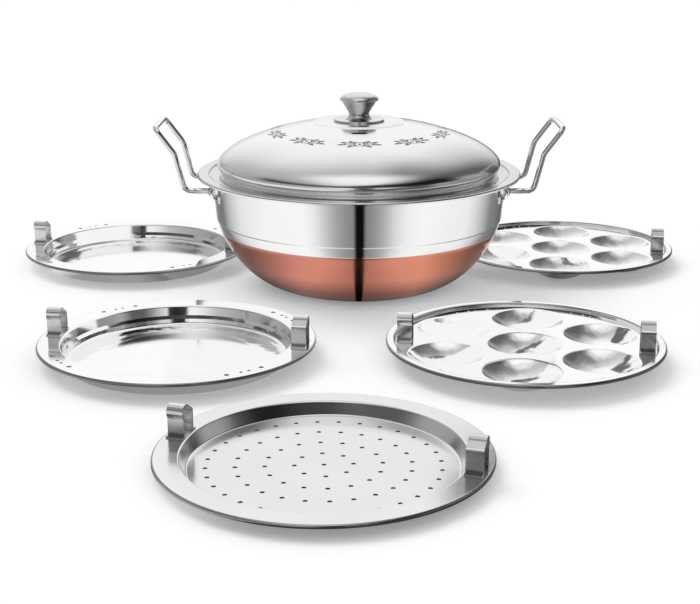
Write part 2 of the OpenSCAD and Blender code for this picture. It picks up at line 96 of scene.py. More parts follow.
class STEAMER_PG_pot(bpy.types.PropertyGroup):
    sheet: length("Sheet", "Thickness of the steel pot", 1.2)
    height: length("Flange height", "Height of the flange's top face", 108)
    base_r: length("Base radius", "Radius of the flat bottom", 62)
    belly_h: length("Belly height", "Height where the curved bowl meets the wall", 64.5)
    belly_r: length("Belly radius", "Radius where the curved bowl meets the wall", 132.4)
    foot_r: length("Wall foot", "Radius of the straight wall at its foot", 133.6)
    foot_z: length("Wall foot height", "Height of the straight wall's foot", 65.7)
    top_r: length("Wall top", "Radius of the straight wall under the flange", 136.8)
    ledge_r: length("Ledge radius", "Outer radius of the step that holds the lid", 140.6)
    ledge_z: length("Ledge height", "Height of the underside of the lid's ledge", 104.8)
    flange_r: length("Flange radius", "Radius of the flange", 150)
    hem: length("Hem", "How far the flange's rim turns down", 1.5)
    copper_h: length("Copper height", "Height that the copper reaches up the bowl", 55)
    copper_t: length("Copper thickness", "Thickness of the copper layer", 0.6)
    seam: length("Seam", "Gap between bonded layers", 0.05)


class STEAMER_PG_handle(bpy.types.PropertyGroup):
    wire_r: length("Wire radius", "Radius of the handle wire", 2.5)
    half_span: length("Half span", "Distance from the middle to each rod", 34)
    wire_z: length("Run height", "Height of the level run", 95)
    wall_r: length("Wire round wall", "Radius of the wire's centreline round the pot's wall", 139.346)
    bend_x: length("Lower bend", "Distance from the pot's axis to the lower bend", 159)
    kink_x: length("Kink", "Distance from the pot's axis to the kink", 167.5)
    kink_z: length("Kink height", "Height of the kink", 129)
    grip_x: length("Grip", "Distance from the pot's axis to the top bar", 184.5)
    grip_z: length("Grip height", "Height of the top bar", 152)
    bend: length("Bend radius", "Bend radius of the wire", 7)
    hook_bend: length("Hook bend", "Bend radius where the wire hooks on to the wall", 4.5)
    hook_run: length("Hook run", "Length that each end runs along the wall", 12.16)
    hook_top: length("Hook top", "Height of the wire's ends", 104.2)


class STEAMER_PG_bracket(bpy.types.PropertyGroup):
    sheet: length("Sheet", "Thickness of a bracket", 1)
    low: length("Lower edge", "Height of a bracket's lower edge", 85.5)
    high: length("Upper edge", "Height of a bracket's upper edge", 104.4)
    half_turn: FloatProperty(name="Half turn", description="Angle from a bracket's middle to its end",
                             default=math.radians(20.6), subtype="ANGLE", unit="ROTATION")
    hump_w: length("Hump width", "Length round the wall of a hump", 7.5)
    hump_rise: length("Hump rise", "How far a hump stands out over the wire", 6.2)
    foot: length("Foot", "Height of the flat foot under and over a hump", 2)
    weld_r: length("Weld radius", "Radius of a spot weld's dimple", 2.2)


class STEAMER_PG_lid(bpy.types.PropertyGroup):
    sheet: length("Sheet", "Thickness of the lid", 1)
    lip_r: length("Lip radius", "Radius of the lid's lip", 138.8)
    foot_z: length("Foot", "Height of the lip's underside", 106.05)
    skirt_r: length("Skirt radius", "Radius of the skirt under the dome", 128.4)
    dome_r: length("Dome radius", "Radius of the dome's rolled edge", 131.4)
    dome_z: length("Dome foot", "Height of the dome's edge", 115.6)
    dome_h: length("Dome height", "Height of the raised middle above the dome's edge", 43.4)
    boss_r: length("Boss radius", "Radius of the raised flat in the middle", 41)
    boss_rise: length("Boss rise", "Height of the raised flat above the dome", 1.6)
    slot_l: length("Slot length", "Length of the steam slot", 14)
    slot_w: length("Slot width", "Width of the steam slot", 4)
    slot_at: length("Slot place", "Distance from the lid's axis to the steam slot", 55)
    sprigs: IntProperty(name="Sprigs", description="Number of etched flower sprigs round the lid", default=10, min=1)
    sprig_r: length("Sprig ring", "Radius of the ring of sprigs", 79)


class STEAMER_PG_knob(bpy.types.PropertyGroup):
    disc_r: length("Disc radius", "Radius of the disc under the knob", 23.6)
    disc_t: length("Disc thickness", "Thickness of the disc under the knob", 1.6)
    foot_r: length("Foot radius", "Radius of the knob's foot", 12.4)
    neck_r: length("Neck radius", "Radius of the knob's neck", 9.2)
    neck_z: length("Neck height", "Height of the neck above the disc", 4.2)
    height: length("Body height", "Height of the knob's body", 16.5)
    shoulder_r: length("Shoulder", "Radius of the body under the cap", 15.9)
    cap_r: length("Cap radius", "Radius of the knob's cap", 18)
    cap_h: length("Cap height", "Height of the knob's cap", 7.2)


class STEAMER_PG_plates(bpy.types.PropertyGroup):
    radius: length("Radius", "Radius of every plate", 110)
    sheet: length("Sheet", "Thickness of a plate", 1)
    hem: length("Hem", "How far a plate's edge turns down", 1.6)
    dhokla_flange: length("Dhokla flange", "Width of the flange of a dhokla plate", 18)
    dhokla_deep: length("Dhokla depth", "Depth of a dhokla plate", 15.5)
    steam_flange: length("Steam flange", "Width of the flange of the steam plate", 17)
    steam_deep: length("Steam depth", "Depth of the steam plate", 9.5)
    steam_pitch: length("Steam pitch", "Distance between the rings of steam holes", 19)
    steam_hole: length("Steam hole", "Radius of a steam hole", 1.6)
    idli_rim: length("Idli rim", "Width of the rim of an idli plate", 6.5)
    idli_rim_h: length("Idli rim height", "Height of the rim above the sheet", 3.5)
    cup_r: length("Cup radius", "Radius of an idli cup at its mouth", 30.5)
    cup_deep: length("Cup depth", "Depth of an idli cup", 12)
    cup_pitch: length("Cup pitch", "Distance from the plate's axis to an outer cup", 68.5)
    big_hole: length("Large hole", "Radius of a large flange hole", 2)
    small_hole: length("Small hole", "Radius of a small flange hole", 1.3)
    lean: length("Wall lean", "How far a plate's wall leans out", 3.5)


class STEAMER_PG_clip(bpy.types.PropertyGroup):
    width: length("Width", "Width of a clip's strip", 11.5)
    sheet: length("Sheet", "Thickness of a clip's strip", 1.1)
    height: length("Height", "Height of a clip", 22)
    gap: length("Gap", "Clear width between a clip's legs", 13)
    leg: length("Leg", "Height of the plain leg up to its corner", 15)
    roll: length("Roll", "Inner radius of the rolled end", 4.2)
    foot: length("Foot", "Length of a clip's foot", 4.5)


class STEAMER_PG_finish(bpy.types.PropertyGroup):
    steel: colour("Steel", "Colour of polished steel", (0.90, 0.90, 0.905))
    satin: colour("Satin steel", "Colour of brushed steel", (0.80, 0.80, 0.81))
    copper: colour("Copper", "Colour of the copper bottom", (0.78, 0.285, 0.172))
    # painted shade: the copper takes this colour towards its left side, and in random patches
    copper_pink: colour("Pale copper", "Colour of the copper in random patches and in painted shade on its left side", (0.65, 0.24, 0.185))
    etched: colour("Etched line", "Colour of the lid's etched lines", (0.10, 0.10, 0.10))
    mirror: share("Mirror roughness", "Roughness of mirror-polished sheet", 0.07)
    wall: share("Wall roughness", "Roughness of the pot's polished wall", 0.075)
    dome: share("Dome roughness", "Roughness of the lid's satin dome", 0.10)


class STEAMER_PG_studio(bpy.types.PropertyGroup):
    camera: FloatVectorProperty(name="Camera", description="Place of the camera", size=3, unit="LENGTH",
                                default=(-0.0083, -1.270, 0.347), subtype="TRANSLATION")
    tilt: FloatProperty(name="Tilt", description="How far the camera looks down", default=math.radians(16.14),
                        subtype="ANGLE", unit="ROTATION")
    lens: FloatProperty(name="Lens", description="Focal length for a 36 mm sensor", default=70.8,
                        min=20, unit="CAMERA")
    sky: FloatProperty(name="Sky", description="Strength of the white surroundings", default=0.62, min=0.0)
    key: FloatProperty(name="Key light", description="Strength of the soft key light", default=0.9, min=0.0)
    fill: FloatProperty(name="Fill light", description="Strength of the soft fill light", default=0.2, min=0.0)


class STEAMER_PG_all(bpy.types.PropertyGroup):
    pot: PointerProperty(type=STEAMER_PG_pot)
    handle: PointerProperty(type=STEAMER_PG_handle)
    bracket: PointerProperty(type=STEAMER_PG_bracket)
    lid: PointerProperty(type=STEAMER_PG_lid)
    knob: PointerProperty(type=STEAMER_PG_knob)
    plates: PointerProperty(type=STEAMER_PG_plates)
    clip: PointerProperty(type=STEAMER_PG_clip)
    finish: PointerProperty(type=STEAMER_PG_finish)
    studio: PointerProperty(type=STEAMER_PG_studio)


def read(group):
    """The settings of one group as plain values, with its lengths in millimetres."""
    settings, values = getattr(bpy.context.scene.steamer, group), {}
    for prop in settings.bl_rna.properties:
        if prop.identifier in HIDDEN:
            continue
        value = getattr(settings, prop.identifier)
        if prop.type == "FLOAT" and prop.is_array:
            value = tuple(value)
        elif prop.type == "FLOAT" and prop.unit == "LENGTH":
            value = value / MM
        values[prop.identifier] = value
    return SimpleNamespace(**values)


# ---- Paths and outlines ----

def unit(v):
    return v / np.linalg.norm(v, axis=-1, keepdims=True)


def bend(start, r, ahead, aside, angles):
    """An arc's points: start + r sin(a) ahead + r (1 - cos(a)) aside."""
    a = np.asarray(angles)[:, None]
    return start + r * (np.sin(a) * np.asarray(ahead) + (1 - np.cos(a)) * np.asarray(aside))


def rounded(points, radii, step=BEND_STEP):
    """A path in a plane or in space whose inner corners are arcs of the given radii, tangent to both sides, with a
    point about every step degrees."""
    p = [np.asarray(q, float) for q in points]
    out = [p[0]]
    for before, corner, after, r in zip(p, p[1:], p[2:], radii):
        ahead, next_way = unit(corner - before), unit(after - corner)
        turn = math.acos(max(-1.0, min(1.0, float(ahead @ next_way))))
        if r <= 0 or turn < 1e-3:
            out.append(corner)
            continue
        aside = unit(next_way - (ahead @ next_way) * ahead)
        start = corner - ahead * r * math.tan(turn / 2)
        out.extend(bend(start, r, ahead, aside, np.linspace(0, turn, max(3, math.ceil(math.degrees(turn) / step) + 1))))
    out.append(p[-1])
    return np.array(out)


def spaced(path, longest=6.0, margin=0.35):
    """The path with points a margin from each end of its long runs, and none of its runs longer than longest."""
    out = [path[:1]]
    for a, b in zip(path, path[1:]):
        run = float(np.linalg.norm(b - a))
        cuts = [1.0]
        if run > 4 * margin:
            cuts = [*np.linspace(margin / run, 1 - margin / run, max(2, math.ceil(run / longest) + 1)), 1.0]
        out.append(a + (b - a) * np.array(cuts)[:, None])
    return np.concatenate(out)


def shifted(path, distance):
    """The path moved to its left by an even distance, also at its corners. Points on the axis stay on it."""
    d = unit(np.diff(path, axis=0))
    n = np.column_stack([-d[:, 1], d[:, 0]])
    before, after = np.vstack([n[:1], n]), np.vstack([n, n[-1:]])
    middle = unit(before + after)
    moved = path + distance * (middle / (middle * before).sum(axis=1, keepdims=True))
    moved[np.abs(path[:, 0]) < 1e-9, 0] = 0.0
    return moved


def sheet_outline(path, thickness, start=0):
    """The outline of bent sheet from one of its path's points: along one face, round its edge in half an ellipse,
    and back along the other face."""
    back = shifted(path, thickness)
    middle, half = (path[-1] + back[-1]) / 2, (back[-1] - path[-1]) / 2
    ahead = unit(path[-1] - path[-2]) * np.linalg.norm(half) * EDGE_BULGE
    a = np.linspace(0, math.pi, 7)[1:-1, None]
    return np.vstack([path[start:], middle - half * np.cos(a) + ahead * np.sin(a), back[start:][::-1]])


def arc(centre, radius, degrees):
    """Points of a circle in a plane: centre + radius (cos a, sin a)."""
    a = np.radians(degrees)[:, None]
    return np.asarray(centre) + radius * np.hstack([np.cos(a), np.sin(a)])


# ---- Meshes ----

def ring_angles(turns):
    return 2 * math.pi * np.arange(turns) / turns


def turned(profile, turns=TURNS, angles=None):
    """Points of a turned surface: each profile point (r, z) carried round the Z axis, at (r cos a, r sin a, z)."""
    a = ring_angles(turns)[:, None] if angles is None else angles
    r, z = profile.T
    return np.stack(np.broadcast_arrays(r * np.cos(a), r * np.sin(a), z), axis=-1)


def grid_cells(rows, cols, wrap_rows=False, wrap_cols=False):
    """The four corner numbers of each cell of a grid, as an array of shape (rows, cols, 4)."""
    i = np.arange(rows if wrap_rows else rows - 1)[:, None]
    j = np.arange(cols if wrap_cols else cols - 1)[None]
    i2, j2 = (i + 1) % rows, (j + 1) % cols
    return np.stack(np.broadcast_arrays(i * cols + j, i2 * cols + j, i2 * cols + j2, i * cols + j2), axis=-1)


def new_object(name, data):
    made = bpy.data.objects.new(name, data)
    bpy.context.scene.collection.objects.link(made)
    return made


class Shell:
    """Gathers grids and loose faces, in millimetres, and welds them into one closed mesh."""

    def __init__(self):
        self.points, self.faces, self.count = [], [], 0

    def loose(self, points, faces):
        self.points.append(np.asarray(points, float).reshape(-1, 3))
        self.faces.extend((np.asarray(faces) + self.count).tolist())
        self.count += len(self.points[-1])

    def grid(self, points, wrap_rows=False, wrap_cols=False, keep=None):
        cells = grid_cells(*points.shape[:2], wrap_rows, wrap_cols)
        self.loose(points, cells[keep] if keep is not None else cells.reshape(-1, 4))

    def turned(self, profile, turns=TURNS, centre=(0.0, 0.0)):
        self.grid(turned(profile, turns) + np.array([*centre, 0.0]), wrap_rows=True)

    def slab(self, outer, inner, keep=None):
        """A bent sheet from the grids of its two faces, with walls wherever a kept cell meets none."""
        rows, cols = outer.shape[:2]
        cells, number = grid_cells(rows, cols), np.arange(rows * cols).reshape(rows, cols)
        keep = np.ones(cells.shape[:2], bool) if keep is None else keep
        padded = np.pad(keep, 1)
        across = padded[1:, 1:-1] != padded[:-1, 1:-1]
        along = padded[1:-1, 1:] != padded[1:-1, :-1]
        edge = np.concatenate([np.stack([number[:, :-1], number[:, 1:]], -1)[across],
                               np.stack([number[:-1], number[1:]], -1)[along]])
        faces = [cells[keep], cells[keep][:, ::-1] + rows * cols,
                 np.column_stack([edge, edge[:, ::-1] + rows * cols])]
        self.loose(np.concatenate([outer.reshape(-1, 3), inner.reshape(-1, 3)]), np.concatenate(faces))

    def level_sheet(self, low, high, outer, holes, inner=0.0):
        """A level sheet between two heights, out to a circle, with round holes of (x, y, radius, steps) through
        it, and open at its outer and inner circles. Its faces are the triangles that lie in none of the holes. The
        small holes get their walls here."""
        loops = [(0.0, 0.0, outer, TURNS)] + ([(0.0, 0.0, inner, TURNS)] if inner else []) + holes
        flat, edges, start = [], [], 0
        for x, y, r, steps in loops:
            a, k = ring_angles(steps), np.arange(steps)
            flat.append(np.column_stack([x + r * np.cos(a), y + r * np.sin(a)]))
            edges.append(np.column_stack([start + k, start + (k + 1) % steps]))
            start += steps
        made = delaunay_2d_cdt([Vector(v) for v in np.concatenate(flat)], np.concatenate(edges).tolist(), [], 0,
                               1e-6, False)
        spots, triangles = np.array([tuple(v) for v in made[0]]), np.array(made[2])
        middles = spots[triangles].mean(axis=1)
        h = np.array([hole[:3] for hole in holes])
        away = np.hypot(middles[:, 0, None] - h[None, :, 0], middles[:, 1, None] - h[None, :, 1])
        out = np.hypot(*middles.T)
        clear = (out < outer) & (out > inner) & (away > h[None, :, 2]).all(axis=1)
        for z in (low, high):
            self.loose(np.column_stack([spots, np.full(len(spots), z)]), triangles[clear])
        for x, y, r, steps in holes:
            if steps == HOLE_STEPS:
                self.turned(np.array([[r, low], [r, high]]), steps, (x, y))

    def piece(self, name, material, body, node, slot, place=None, sharp=38.0, bevel=0.0):
        """Welds the faces, turns them outwards and makes the piece, in the place of its CAD node."""
        points = np.concatenate(self.points)
        mesh = bpy.data.meshes.new(name)
        mesh.from_pydata(((place(points) if place else points) * MM).tolist(), [], self.faces)
        bm = bmesh.new()
        bm.from_mesh(mesh)
        bmesh.ops.remove_doubles(bm, verts=bm.verts, dist=WELD * MM)
        bmesh.ops.delete(bm, geom=[v for v in bm.verts if not v.link_faces], context="VERTS")
        bmesh.ops.recalc_face_normals(bm, faces=bm.faces)
        bm.to_mesh(mesh)
        bm.free()
        mesh.polygons.foreach_set("use_smooth", np.ones(len(mesh.polygons), bool))
        mesh.set_sharp_from_angle(angle=math.radians(sharp))
        mesh.materials.append(material)
        piece = new_object(name, mesh)
        if bevel:
            rounding = piece.modifiers.new("Rounded edges", "BEVEL")
            rounding.width, rounding.segments = bevel * MM, 2
            rounding.limit_method, rounding.angle_limit = "ANGLE", math.radians(50)
            rounding.harden_normals = True
        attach(piece, body)
        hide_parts(node)
        return piece


# ---- Finishes ----

class Wire:
    """An output socket. Arithmetic on it adds the Math node that does it."""

    def __init__(self, graph, socket):
        self.graph, self.socket = graph, socket

    def do(self, operation, *values):
        return self.graph.node("Math", dict(enumerate((self, *values))), operation=operation)

    def __rsub__(self, other):
        return self.graph.node("Math", {0: other, 1: self}, operation="SUBTRACT")

    __add__ = __radd__ = partialmethod(do, "ADD")
    __mul__ = __rmul__ = partialmethod(do, "MULTIPLY")
    __sub__ = partialmethod(do, "SUBTRACT")
    __truediv__ = partialmethod(do, "DIVIDE")
    __pow__ = partialmethod(do, "POWER")
    __abs__ = partialmethod(do, "ABSOLUTE")
    least = partialmethod(do, "MINIMUM")
    most = partialmethod(do, "MAXIMUM")
    angle = partialmethod(do, "ARCTAN2")   # in radians: its sine goes with this value, its cosine with the other

    def clamped(self):
        return self.most(0.0).least(1.0)

    def below(self, limit, soft):
        """1 where the value is below the limit, 0 above it, with a soft step between."""
        return ((limit - self) / soft + 0.5).clamped()

    def above(self, limit, soft):
        return 1 - self.below(limit, soft)

    def near(self, at, reach):
        """1 at a value, falling evenly to 0 at a reach away from it."""
        return (1 - abs(self - at) / reach).clamped()


def away_from_axis(a, b):
    """The length of (a, b)."""
    return (a * a + b * b).do("SQRT")


def scaled(tint, factor):
    return tuple(min(1.0, c * factor) for c in tint)


class Graph:
    """A node tree that is built up one node at a time."""

    def __init__(self, owner):
        owner.use_nodes = True
        self.tree = owner.node_tree
        self.tree.nodes.clear()

    def node(self, kind, values=(), out=0, **settings):
        """Adds a node: first its settings, or a ramp's stops of (place, grey), then the values or links of its
        sockets. Returns one of its outputs, if it has any."""
        node = self.tree.nodes.new("ShaderNode" + kind)
        for name, value in settings.items():
            if name == "stops":
                elements = node.color_ramp.elements
                for element, (_, grey) in zip((elements[0], elements[1]), (value[0], value[-1])):
                    element.color = (grey, grey, grey, 1.0)
                for at, grey in value[1:-1]:
                    elements.new(at).color = (grey, grey, grey, 1.0)
            else:
                setattr(node, name, value)
        for name, value in dict(values).items():
            if isinstance(value, Wire):
                self.tree.links.new(value.socket, node.inputs[name])
            else:
                node.inputs[name].default_value = value
        return Wire(self, node.outputs[out]) if node.outputs else None

    def parts(self, vector):
        """The x, y and z of a vector."""
        first = self.node("SeparateXYZ", {0: vector})
        return [Wire(self, socket) for socket in first.socket.node.outputs]

    def level(self, value, stops):
        """A level read off a list of (value, level) stops, with even steps between them."""
        low, high = stops[0][0], stops[-1][0]
        return self.node("ValToRGB", {0: (value - low) / (high - low)},
                         stops=[((at - low) / (high - low), grey) for at, grey in stops])

    def mix(self, factor, one, other):
        """A colour between two colours."""
        one, other = ((*tint, 1.0) if isinstance(tint, tuple) else tint for tint in (one, other))
        return self.node("Mix", {0: factor, 6: one, 7: other}, 2, data_type="RGBA", clamp_factor=True)

    def either(self, factor, one, other):
        """One shader at 0 and the other at 1."""
        return self.node("MixShader", {0: factor, 1: one, 2: other})

    def glow(self, strength):
        return self.node("Emission", {"Strength": strength})

    def ray(self, kind):
        return self.node("LightPath", out=f"Is {kind} Ray")


class Finish(Graph):
    """One procedural metal. Its x, y and z are Object coordinates in millimetres, on the piece's own axis, and its
    shades are shares of the set colour of steel."""

    def __init__(self, name, centre=(0.0, 0.0), turn=0.0):
        self.material, self.set = bpy.data.materials.new(name), read("finish")
        super().__init__(self.material)
        place = self.node("TexCoord", out="Object")
        if turn:
            place = self.node("Mapping", {"Vector": place, "Location": (centre[0] * MM, centre[1] * MM, 0.0),
                                          "Rotation": (0.0, 0.0, math.radians(turn))}, vector_type="TEXTURE")
        self.place = self.node("VectorMath", {0: place, "Scale": 1 / MM}, operation="SCALE")
        self.x, self.y, self.z = self.parts(self.place)

    def radius(self):
        return away_from_axis(self.x, self.y)

    def noise(self, scale, detail=2.0, place=None):
        """Noise from 0 to 1. The scale is in waves per millimetre."""
        return self.node("TexNoise", {"Vector": place or self.place, "Scale": scale, "Detail": detail,
                                      "Roughness": 0.5}, noise_dimensions="3D")

    def grain(self, x, y, z, detail=2.0):
        """Noise on stretched coordinates."""
        return self.noise(1.0, detail, self.node("CombineXYZ", {0: x, 1: y, 2: z}))

    def marks(self, up, out):
        """Fine marks round the axis, with so many waves per millimetre of height and of radius."""
        return self.grain(0.0, 0.0, self.z * up + self.radius() * out)

    def steel(self, factor, one, other):
        return self.mix(factor, scaled(self.set.steel, one), scaled(self.set.steel, other))

    def towards(self, factor, tint, shade):
        """A colour drawn towards a shade of steel."""
        return self.mix(factor, tint, scaled(self.set.steel, shade))

    def made(self, tint, roughness, relief, depth):
        """The finished metal: its colour, its roughness, and relief from 0 to 1 over a depth in millimetres."""
        normal = self.node("Bump", {"Height": relief, "Distance": depth * MM, "Strength": 1.0})
        self.node("OutputMaterial", {0: self.node("BsdfPrincipled", {
            "Base Color": tint, "Metallic": 1.0, "Roughness": roughness, "Normal": normal})})
        return self.material


def polished_sheet(name, centre, turn, kind):
    """Mirror-polished sheet: faint wheel marks round the plate, smudges, and the slight waves of pressed metal,
    which are stronger in the drawn cups and at a dish's edge. Painted shade darkens the rolled edges and the crease at
    the foot of an idli plate's rim into a dark line, and darkens the walls of the holes in the dhokla and steam plates
    and the underside of the steam plate's floor. The steam plate is also duller."""
    p, m = read("plates"), Finish(name, centre, turn)
    r = m.radius()
    off_axis = r.most(1.0)
    marks = m.grain(m.x / off_axis * 0.6, m.y / off_axis * 0.6, (r + m.z * 0.7) * 1.1, 3.0)
    smudge = m.noise(0.018, 3.0)
    waves = m.noise(0.022, 1.0) * 0.24
    rough = m.set.mirror
    # painted shade: a dark line along the rolled edge
    edge = r.above(p.radius - 1.2, 0.4)
    if kind == "steam":
        # painted shade: the underside of the steam plate's floor and the walls of its holes
        walls = m.z.below(p.sheet - 0.1, 0.1)
        tint = m.towards((walls * 0.9).most(edge * 0.5), m.steel(smudge, 0.84, 0.93), 0.06)
        rough += 0.07
    else:
        if kind == "idli":
            # painted shade: a dark line in the crease at the foot of the rim
            edge = edge.most(r.near(p.radius - p.idli_rim - 0.1, 1.3))
            waves = waves + m.noise(0.055) * m.z.below(p.cup_deep + 0.6, 0.8) * 0.9
        tint = m.towards(edge * 0.75, m.steel(smudge, 0.96, 1.06), 0.10)
    if kind == "dhokla":
        low, high = p.dhokla_deep + 0.1, p.dhokla_deep + p.sheet - 0.1
        # painted shade: the walls of the flange's holes
        walls = (m.z.above(low, 0.1) * m.z.below(high, 0.1) * r.above(p.radius - 14.5, 0.5)
                 * r.below(p.radius - 3.0, 0.5))
        tint = m.towards(walls * 0.9, tint, 0.06)
        waves = waves + m.noise(0.05) * r.above(0.6 * p.radius, 8.0) * m.z.below(7.0, 3.0) * 0.7
    return m.made(tint, rough + marks * 0.03 + smudge * 0.03, waves, 1.0)


def clip_finish(name, centre, turn, stand):
    """Polished strip with straight rolling marks, and painted shade that darkens it over its feet, at its corner and
    near the top of its roll.
    """
    c, m = read("clip"), Finish(name, centre, turn)
    up = m.z - stand
    # painted shade: darker over the feet, at the corner and near the top of the roll
    painted_bend_shade = up.near(1.7, 1.9).most(up.near(c.leg - 0.2, 1.0)).most(up.near(c.height - 1.8, 0.7))
    grain, smudge = m.grain(m.x * 2.2, m.y * 0.15, m.z * 0.15), m.noise(0.09)
    tint = m.towards(painted_bend_shade * 0.72, m.steel(smudge, 0.80, 1.02), 0.12)
    return m.made(tint, 0.12 + grain * 0.10 + smudge * 0.05, grain, 0.02)


def pot_finish():
    """The steel pot: fine marks round a nearly mirror-bright wall, and a duller inside and flange."""
    s, m = read("pot"), Finish("Pot steel")
    inside, flange = m.radius().below(s.belly_r - 3.0, 0.6), m.z.above(s.height - 1.4, 0.3)
    marks = m.marks(2.2, 1.4)
    tint = m.towards(flange.most(inside), m.steel(m.noise(0.02, 3.0), 0.96, 1.03), 0.74)
    return m.made(tint, m.set.wall + marks * 0.03 + inside * 0.18 + flange * 0.12, marks, 0.006)


def copper_finish():
    """Satin copper: marks round the bowl, warmer and paler patches, its paler colour spread over its left side as
    painted shade, and a rougher foot darkened by painted shade.
    """
    m = Finish("Satin copper")
    marks, foot = m.marks(1.8, 0.9), m.z.below(3.0, 5.0)
    # painted shade: m.x turns the copper to its paler colour towards its left side; the noise adds random patches
    tint = m.mix((m.x * -0.004 + m.noise(0.010)).above(0.5, 0.4), m.set.copper, m.set.copper_pink)
    # painted shade darkens the foot; the marks are the metal's own
    for factor, shade in ((foot * 0.45, 0.55), (marks * 0.12, 0.86)):
        tint = m.mix(factor, tint, scaled(m.set.copper, shade))
    return m.made(tint, 0.13 + marks * 0.05 + foot * 0.15, marks, 0.006)


def wire_finish():
    """Polished drawn wire with a little wear."""
    m = Finish("Handle wire")
    wear = m.noise(0.12, 3.0)
    return m.made(m.steel(wear, 0.92, 1.05), 0.08 + wear * 0.08, m.noise(0.05, 1.0), 0.08)


def bracket_finish():
    """Pressed strap: satin marks along it, and the heat rings of its spot welds."""
    b, h, m = read("bracket"), read("handle"), Finish("Bracket steel")
    grain = m.grain(m.x * 0.2, m.y * 0.2, m.z * 2.4)
    welds = [away_from_axis(m.y - h.wall_r * math.sin(math.radians(turn)), m.z - h.wire_z)
             .below(b.weld_r + 1.2, 2.0) for turn in WELD_TURNS]
    weld = reduce(Wire.most, welds)
    return m.made(m.mix(weld * 0.5, m.set.satin, (0.42, 0.37, 0.32)), 0.22 + grain * 0.12 + weld * 0.2, grain, 0.03)


def knob_finish():
    """Turned steel, greyer than the sheet, with marks round it."""
    m = Finish("Knob steel")
    marks, smudge = m.marks(2.0, 2.0), m.noise(0.15)
    return m.made(m.steel(smudge, 0.66, 0.80), 0.10 + marks * 0.08 + smudge * 0.04, marks, 0.01)


def screw_finish():
    """Plain, slightly dull steel."""
    m = Finish("Screw steel")
    grain = m.noise(0.8, 3.0)
    return m.made(m.mix(grain, scaled(m.set.satin, 0.8), m.set.satin), 0.3 + grain * 0.15, grain, 0.03)


SPRIG_FLOWER = (5.6, 1.7, 6)                # radius, radius of its heart, petals
SPRIG_SIDE_FLOWER = (3.5, 1.1, 5)
SIDE_FLOWER_AT, SIDE_FLOWER_DROP = 10.8, 0.6
SPRIG_LEAVES = (                            # place along and out, turn, half length, half width; mirrored as well
    (6.6, 4.0, 35, 4.2, 1.5), (6.8, -4.3, -32, 3.6, 1.4), (15.8, 1.6, 12, 4.0, 1.3), (15.0, -2.9, -20, 3.0, 1.1))


def flower(s, t, radius, petals):
    """Distance in millimetres outside a round-petalled flower: its edge lies at radius (0.62 + 0.38 |cos|)."""
    return away_from_axis(s, t) - radius * (0.62 + abs((t.angle(s) * (petals / 2)).do("COSINE")) * 0.38)


def leaf(s, t, at_s, at_t, turn, long, wide):
    """Distance outside a pointed leaf: an ellipse measured as (|u| / long)^1.5 + (v / wide)^2 in its own axes."""
    c, k = math.cos(math.radians(turn)), math.sin(math.radians(turn))
    ds, dt = s - at_s, t - at_t
    u, v = ds * c + dt * k, (dt * c - ds * k) / wide
    return ((abs(u) / long) ** 1.5 + v * v - 1) * (wide * 0.5)


def sprig(s, t):
    """The etched lines and the petals of a sprig: a flower between two smaller ones, with leaves on a bent stem."""
    flowers = [(s, t, *SPRIG_FLOWER)] + [(s - side * SIDE_FLOWER_AT, t + SIDE_FLOWER_DROP, *SPRIG_SIDE_FLOWER)
                                         for side in (1, -1)]
    shapes = [flower(x, y, radius, petals) for x, y, radius, _, petals in flowers]
    hearts = reduce(Wire.least, [flower(x, y, heart, petals) for x, y, _, heart, petals in flowers])
    for at, out, turn, long, wide in SPRIG_LEAVES:
        shapes += [leaf(s, t, at, out, turn, long, wide), leaf(s, t, -at, out, 180 - turn, long, wide)]
    edge = reduce(Wire.least, shapes)
    stem = (abs(t + 1.4 + (s * s) * -0.008) - 0.35).most(abs(s) - 15.0)
    line = abs(edge).below(0.55, 0.35).most(hearts.below(0.0, 0.35))
    line = line.most(stem.below(0.0, 0.3) * edge.above(0.0, 0.2))
    return line, edge.below(-0.5, 0.4) * (1 - line)


def lid_finish():
    """The lid: a satin dome with soft marks round it, a brighter skirt, a lip darkened by painted shade where it sits
    on the pot, and a ring of etched flower sprigs.
    """
    s, m = read("lid"), Finish("Lid steel")
    marks, smudge = m.marks(1.6, 1.6), m.grain(m.x * 0.012, m.y * 0.012, m.z * 0.024)
    skirt, lip = m.z.below(s.dome_z - 0.4, 0.4), m.z.below(s.foot_z + s.sheet + 0.4, 0.3)
    step = 2 * math.pi / s.sprigs
    local = (m.x.angle(m.y * -1.0) / step + 0.5).do("FLOORED_MODULO", 1.0) - 0.5
    line, petal = sprig(local * (step * s.sprig_r * 1.12), (m.radius() - s.sprig_r) * 1.22)
    tint = m.mix(skirt, m.steel(smudge, 0.88, 0.99), m.set.steel)
    # painted shade: the lip, where the lid sits on the pot, is drawn darker
    tint = m.towards(lip * 0.45, tint, 0.3)
    tint = m.mix(line * 0.95, m.mix(petal * 0.7, tint, (0.92, 0.92, 0.92)), m.set.etched)
    rough = m.set.dome + marks * 0.08 + smudge * 0.04 - skirt * (m.set.dome - 0.09)
    return m.made(tint, rough + petal * 0.2 + line * 0.3, marks * 0.15 + smudge - line * 0.6, 0.04)


# ---- Pot ----

def bowl_radius(s, z):
    """Radius of the bowl at a height: base + (belly - base) sqrt(1 - (1 - z / h)^1.4), a superellipse."""
    return s.base_r + (s.belly_r - s.base_r) * np.sqrt(1 - (1 - np.asarray(z) / s.belly_h) ** 1.4)


def copper_path(s):
    """The bowl's outside from the axis: a flat base, then the bowl's curve up to the copper's edge."""
    z = s.copper_h * np.linspace(0, 1, 64)[1:] ** 2
    flat = np.array([[0, 0], [18, 0], [36, 0], [50, 0], [s.base_r, 0]], float)
    return np.vstack([flat, np.column_stack([bowl_radius(s, z), z])])


def wall_radius(s, z):
    """Radius of the straight wall at a height: a line from its foot to its top."""
    return s.foot_r + (s.top_r - s.foot_r) * (z - s.foot_z) / (s.ledge_z - s.foot_z)


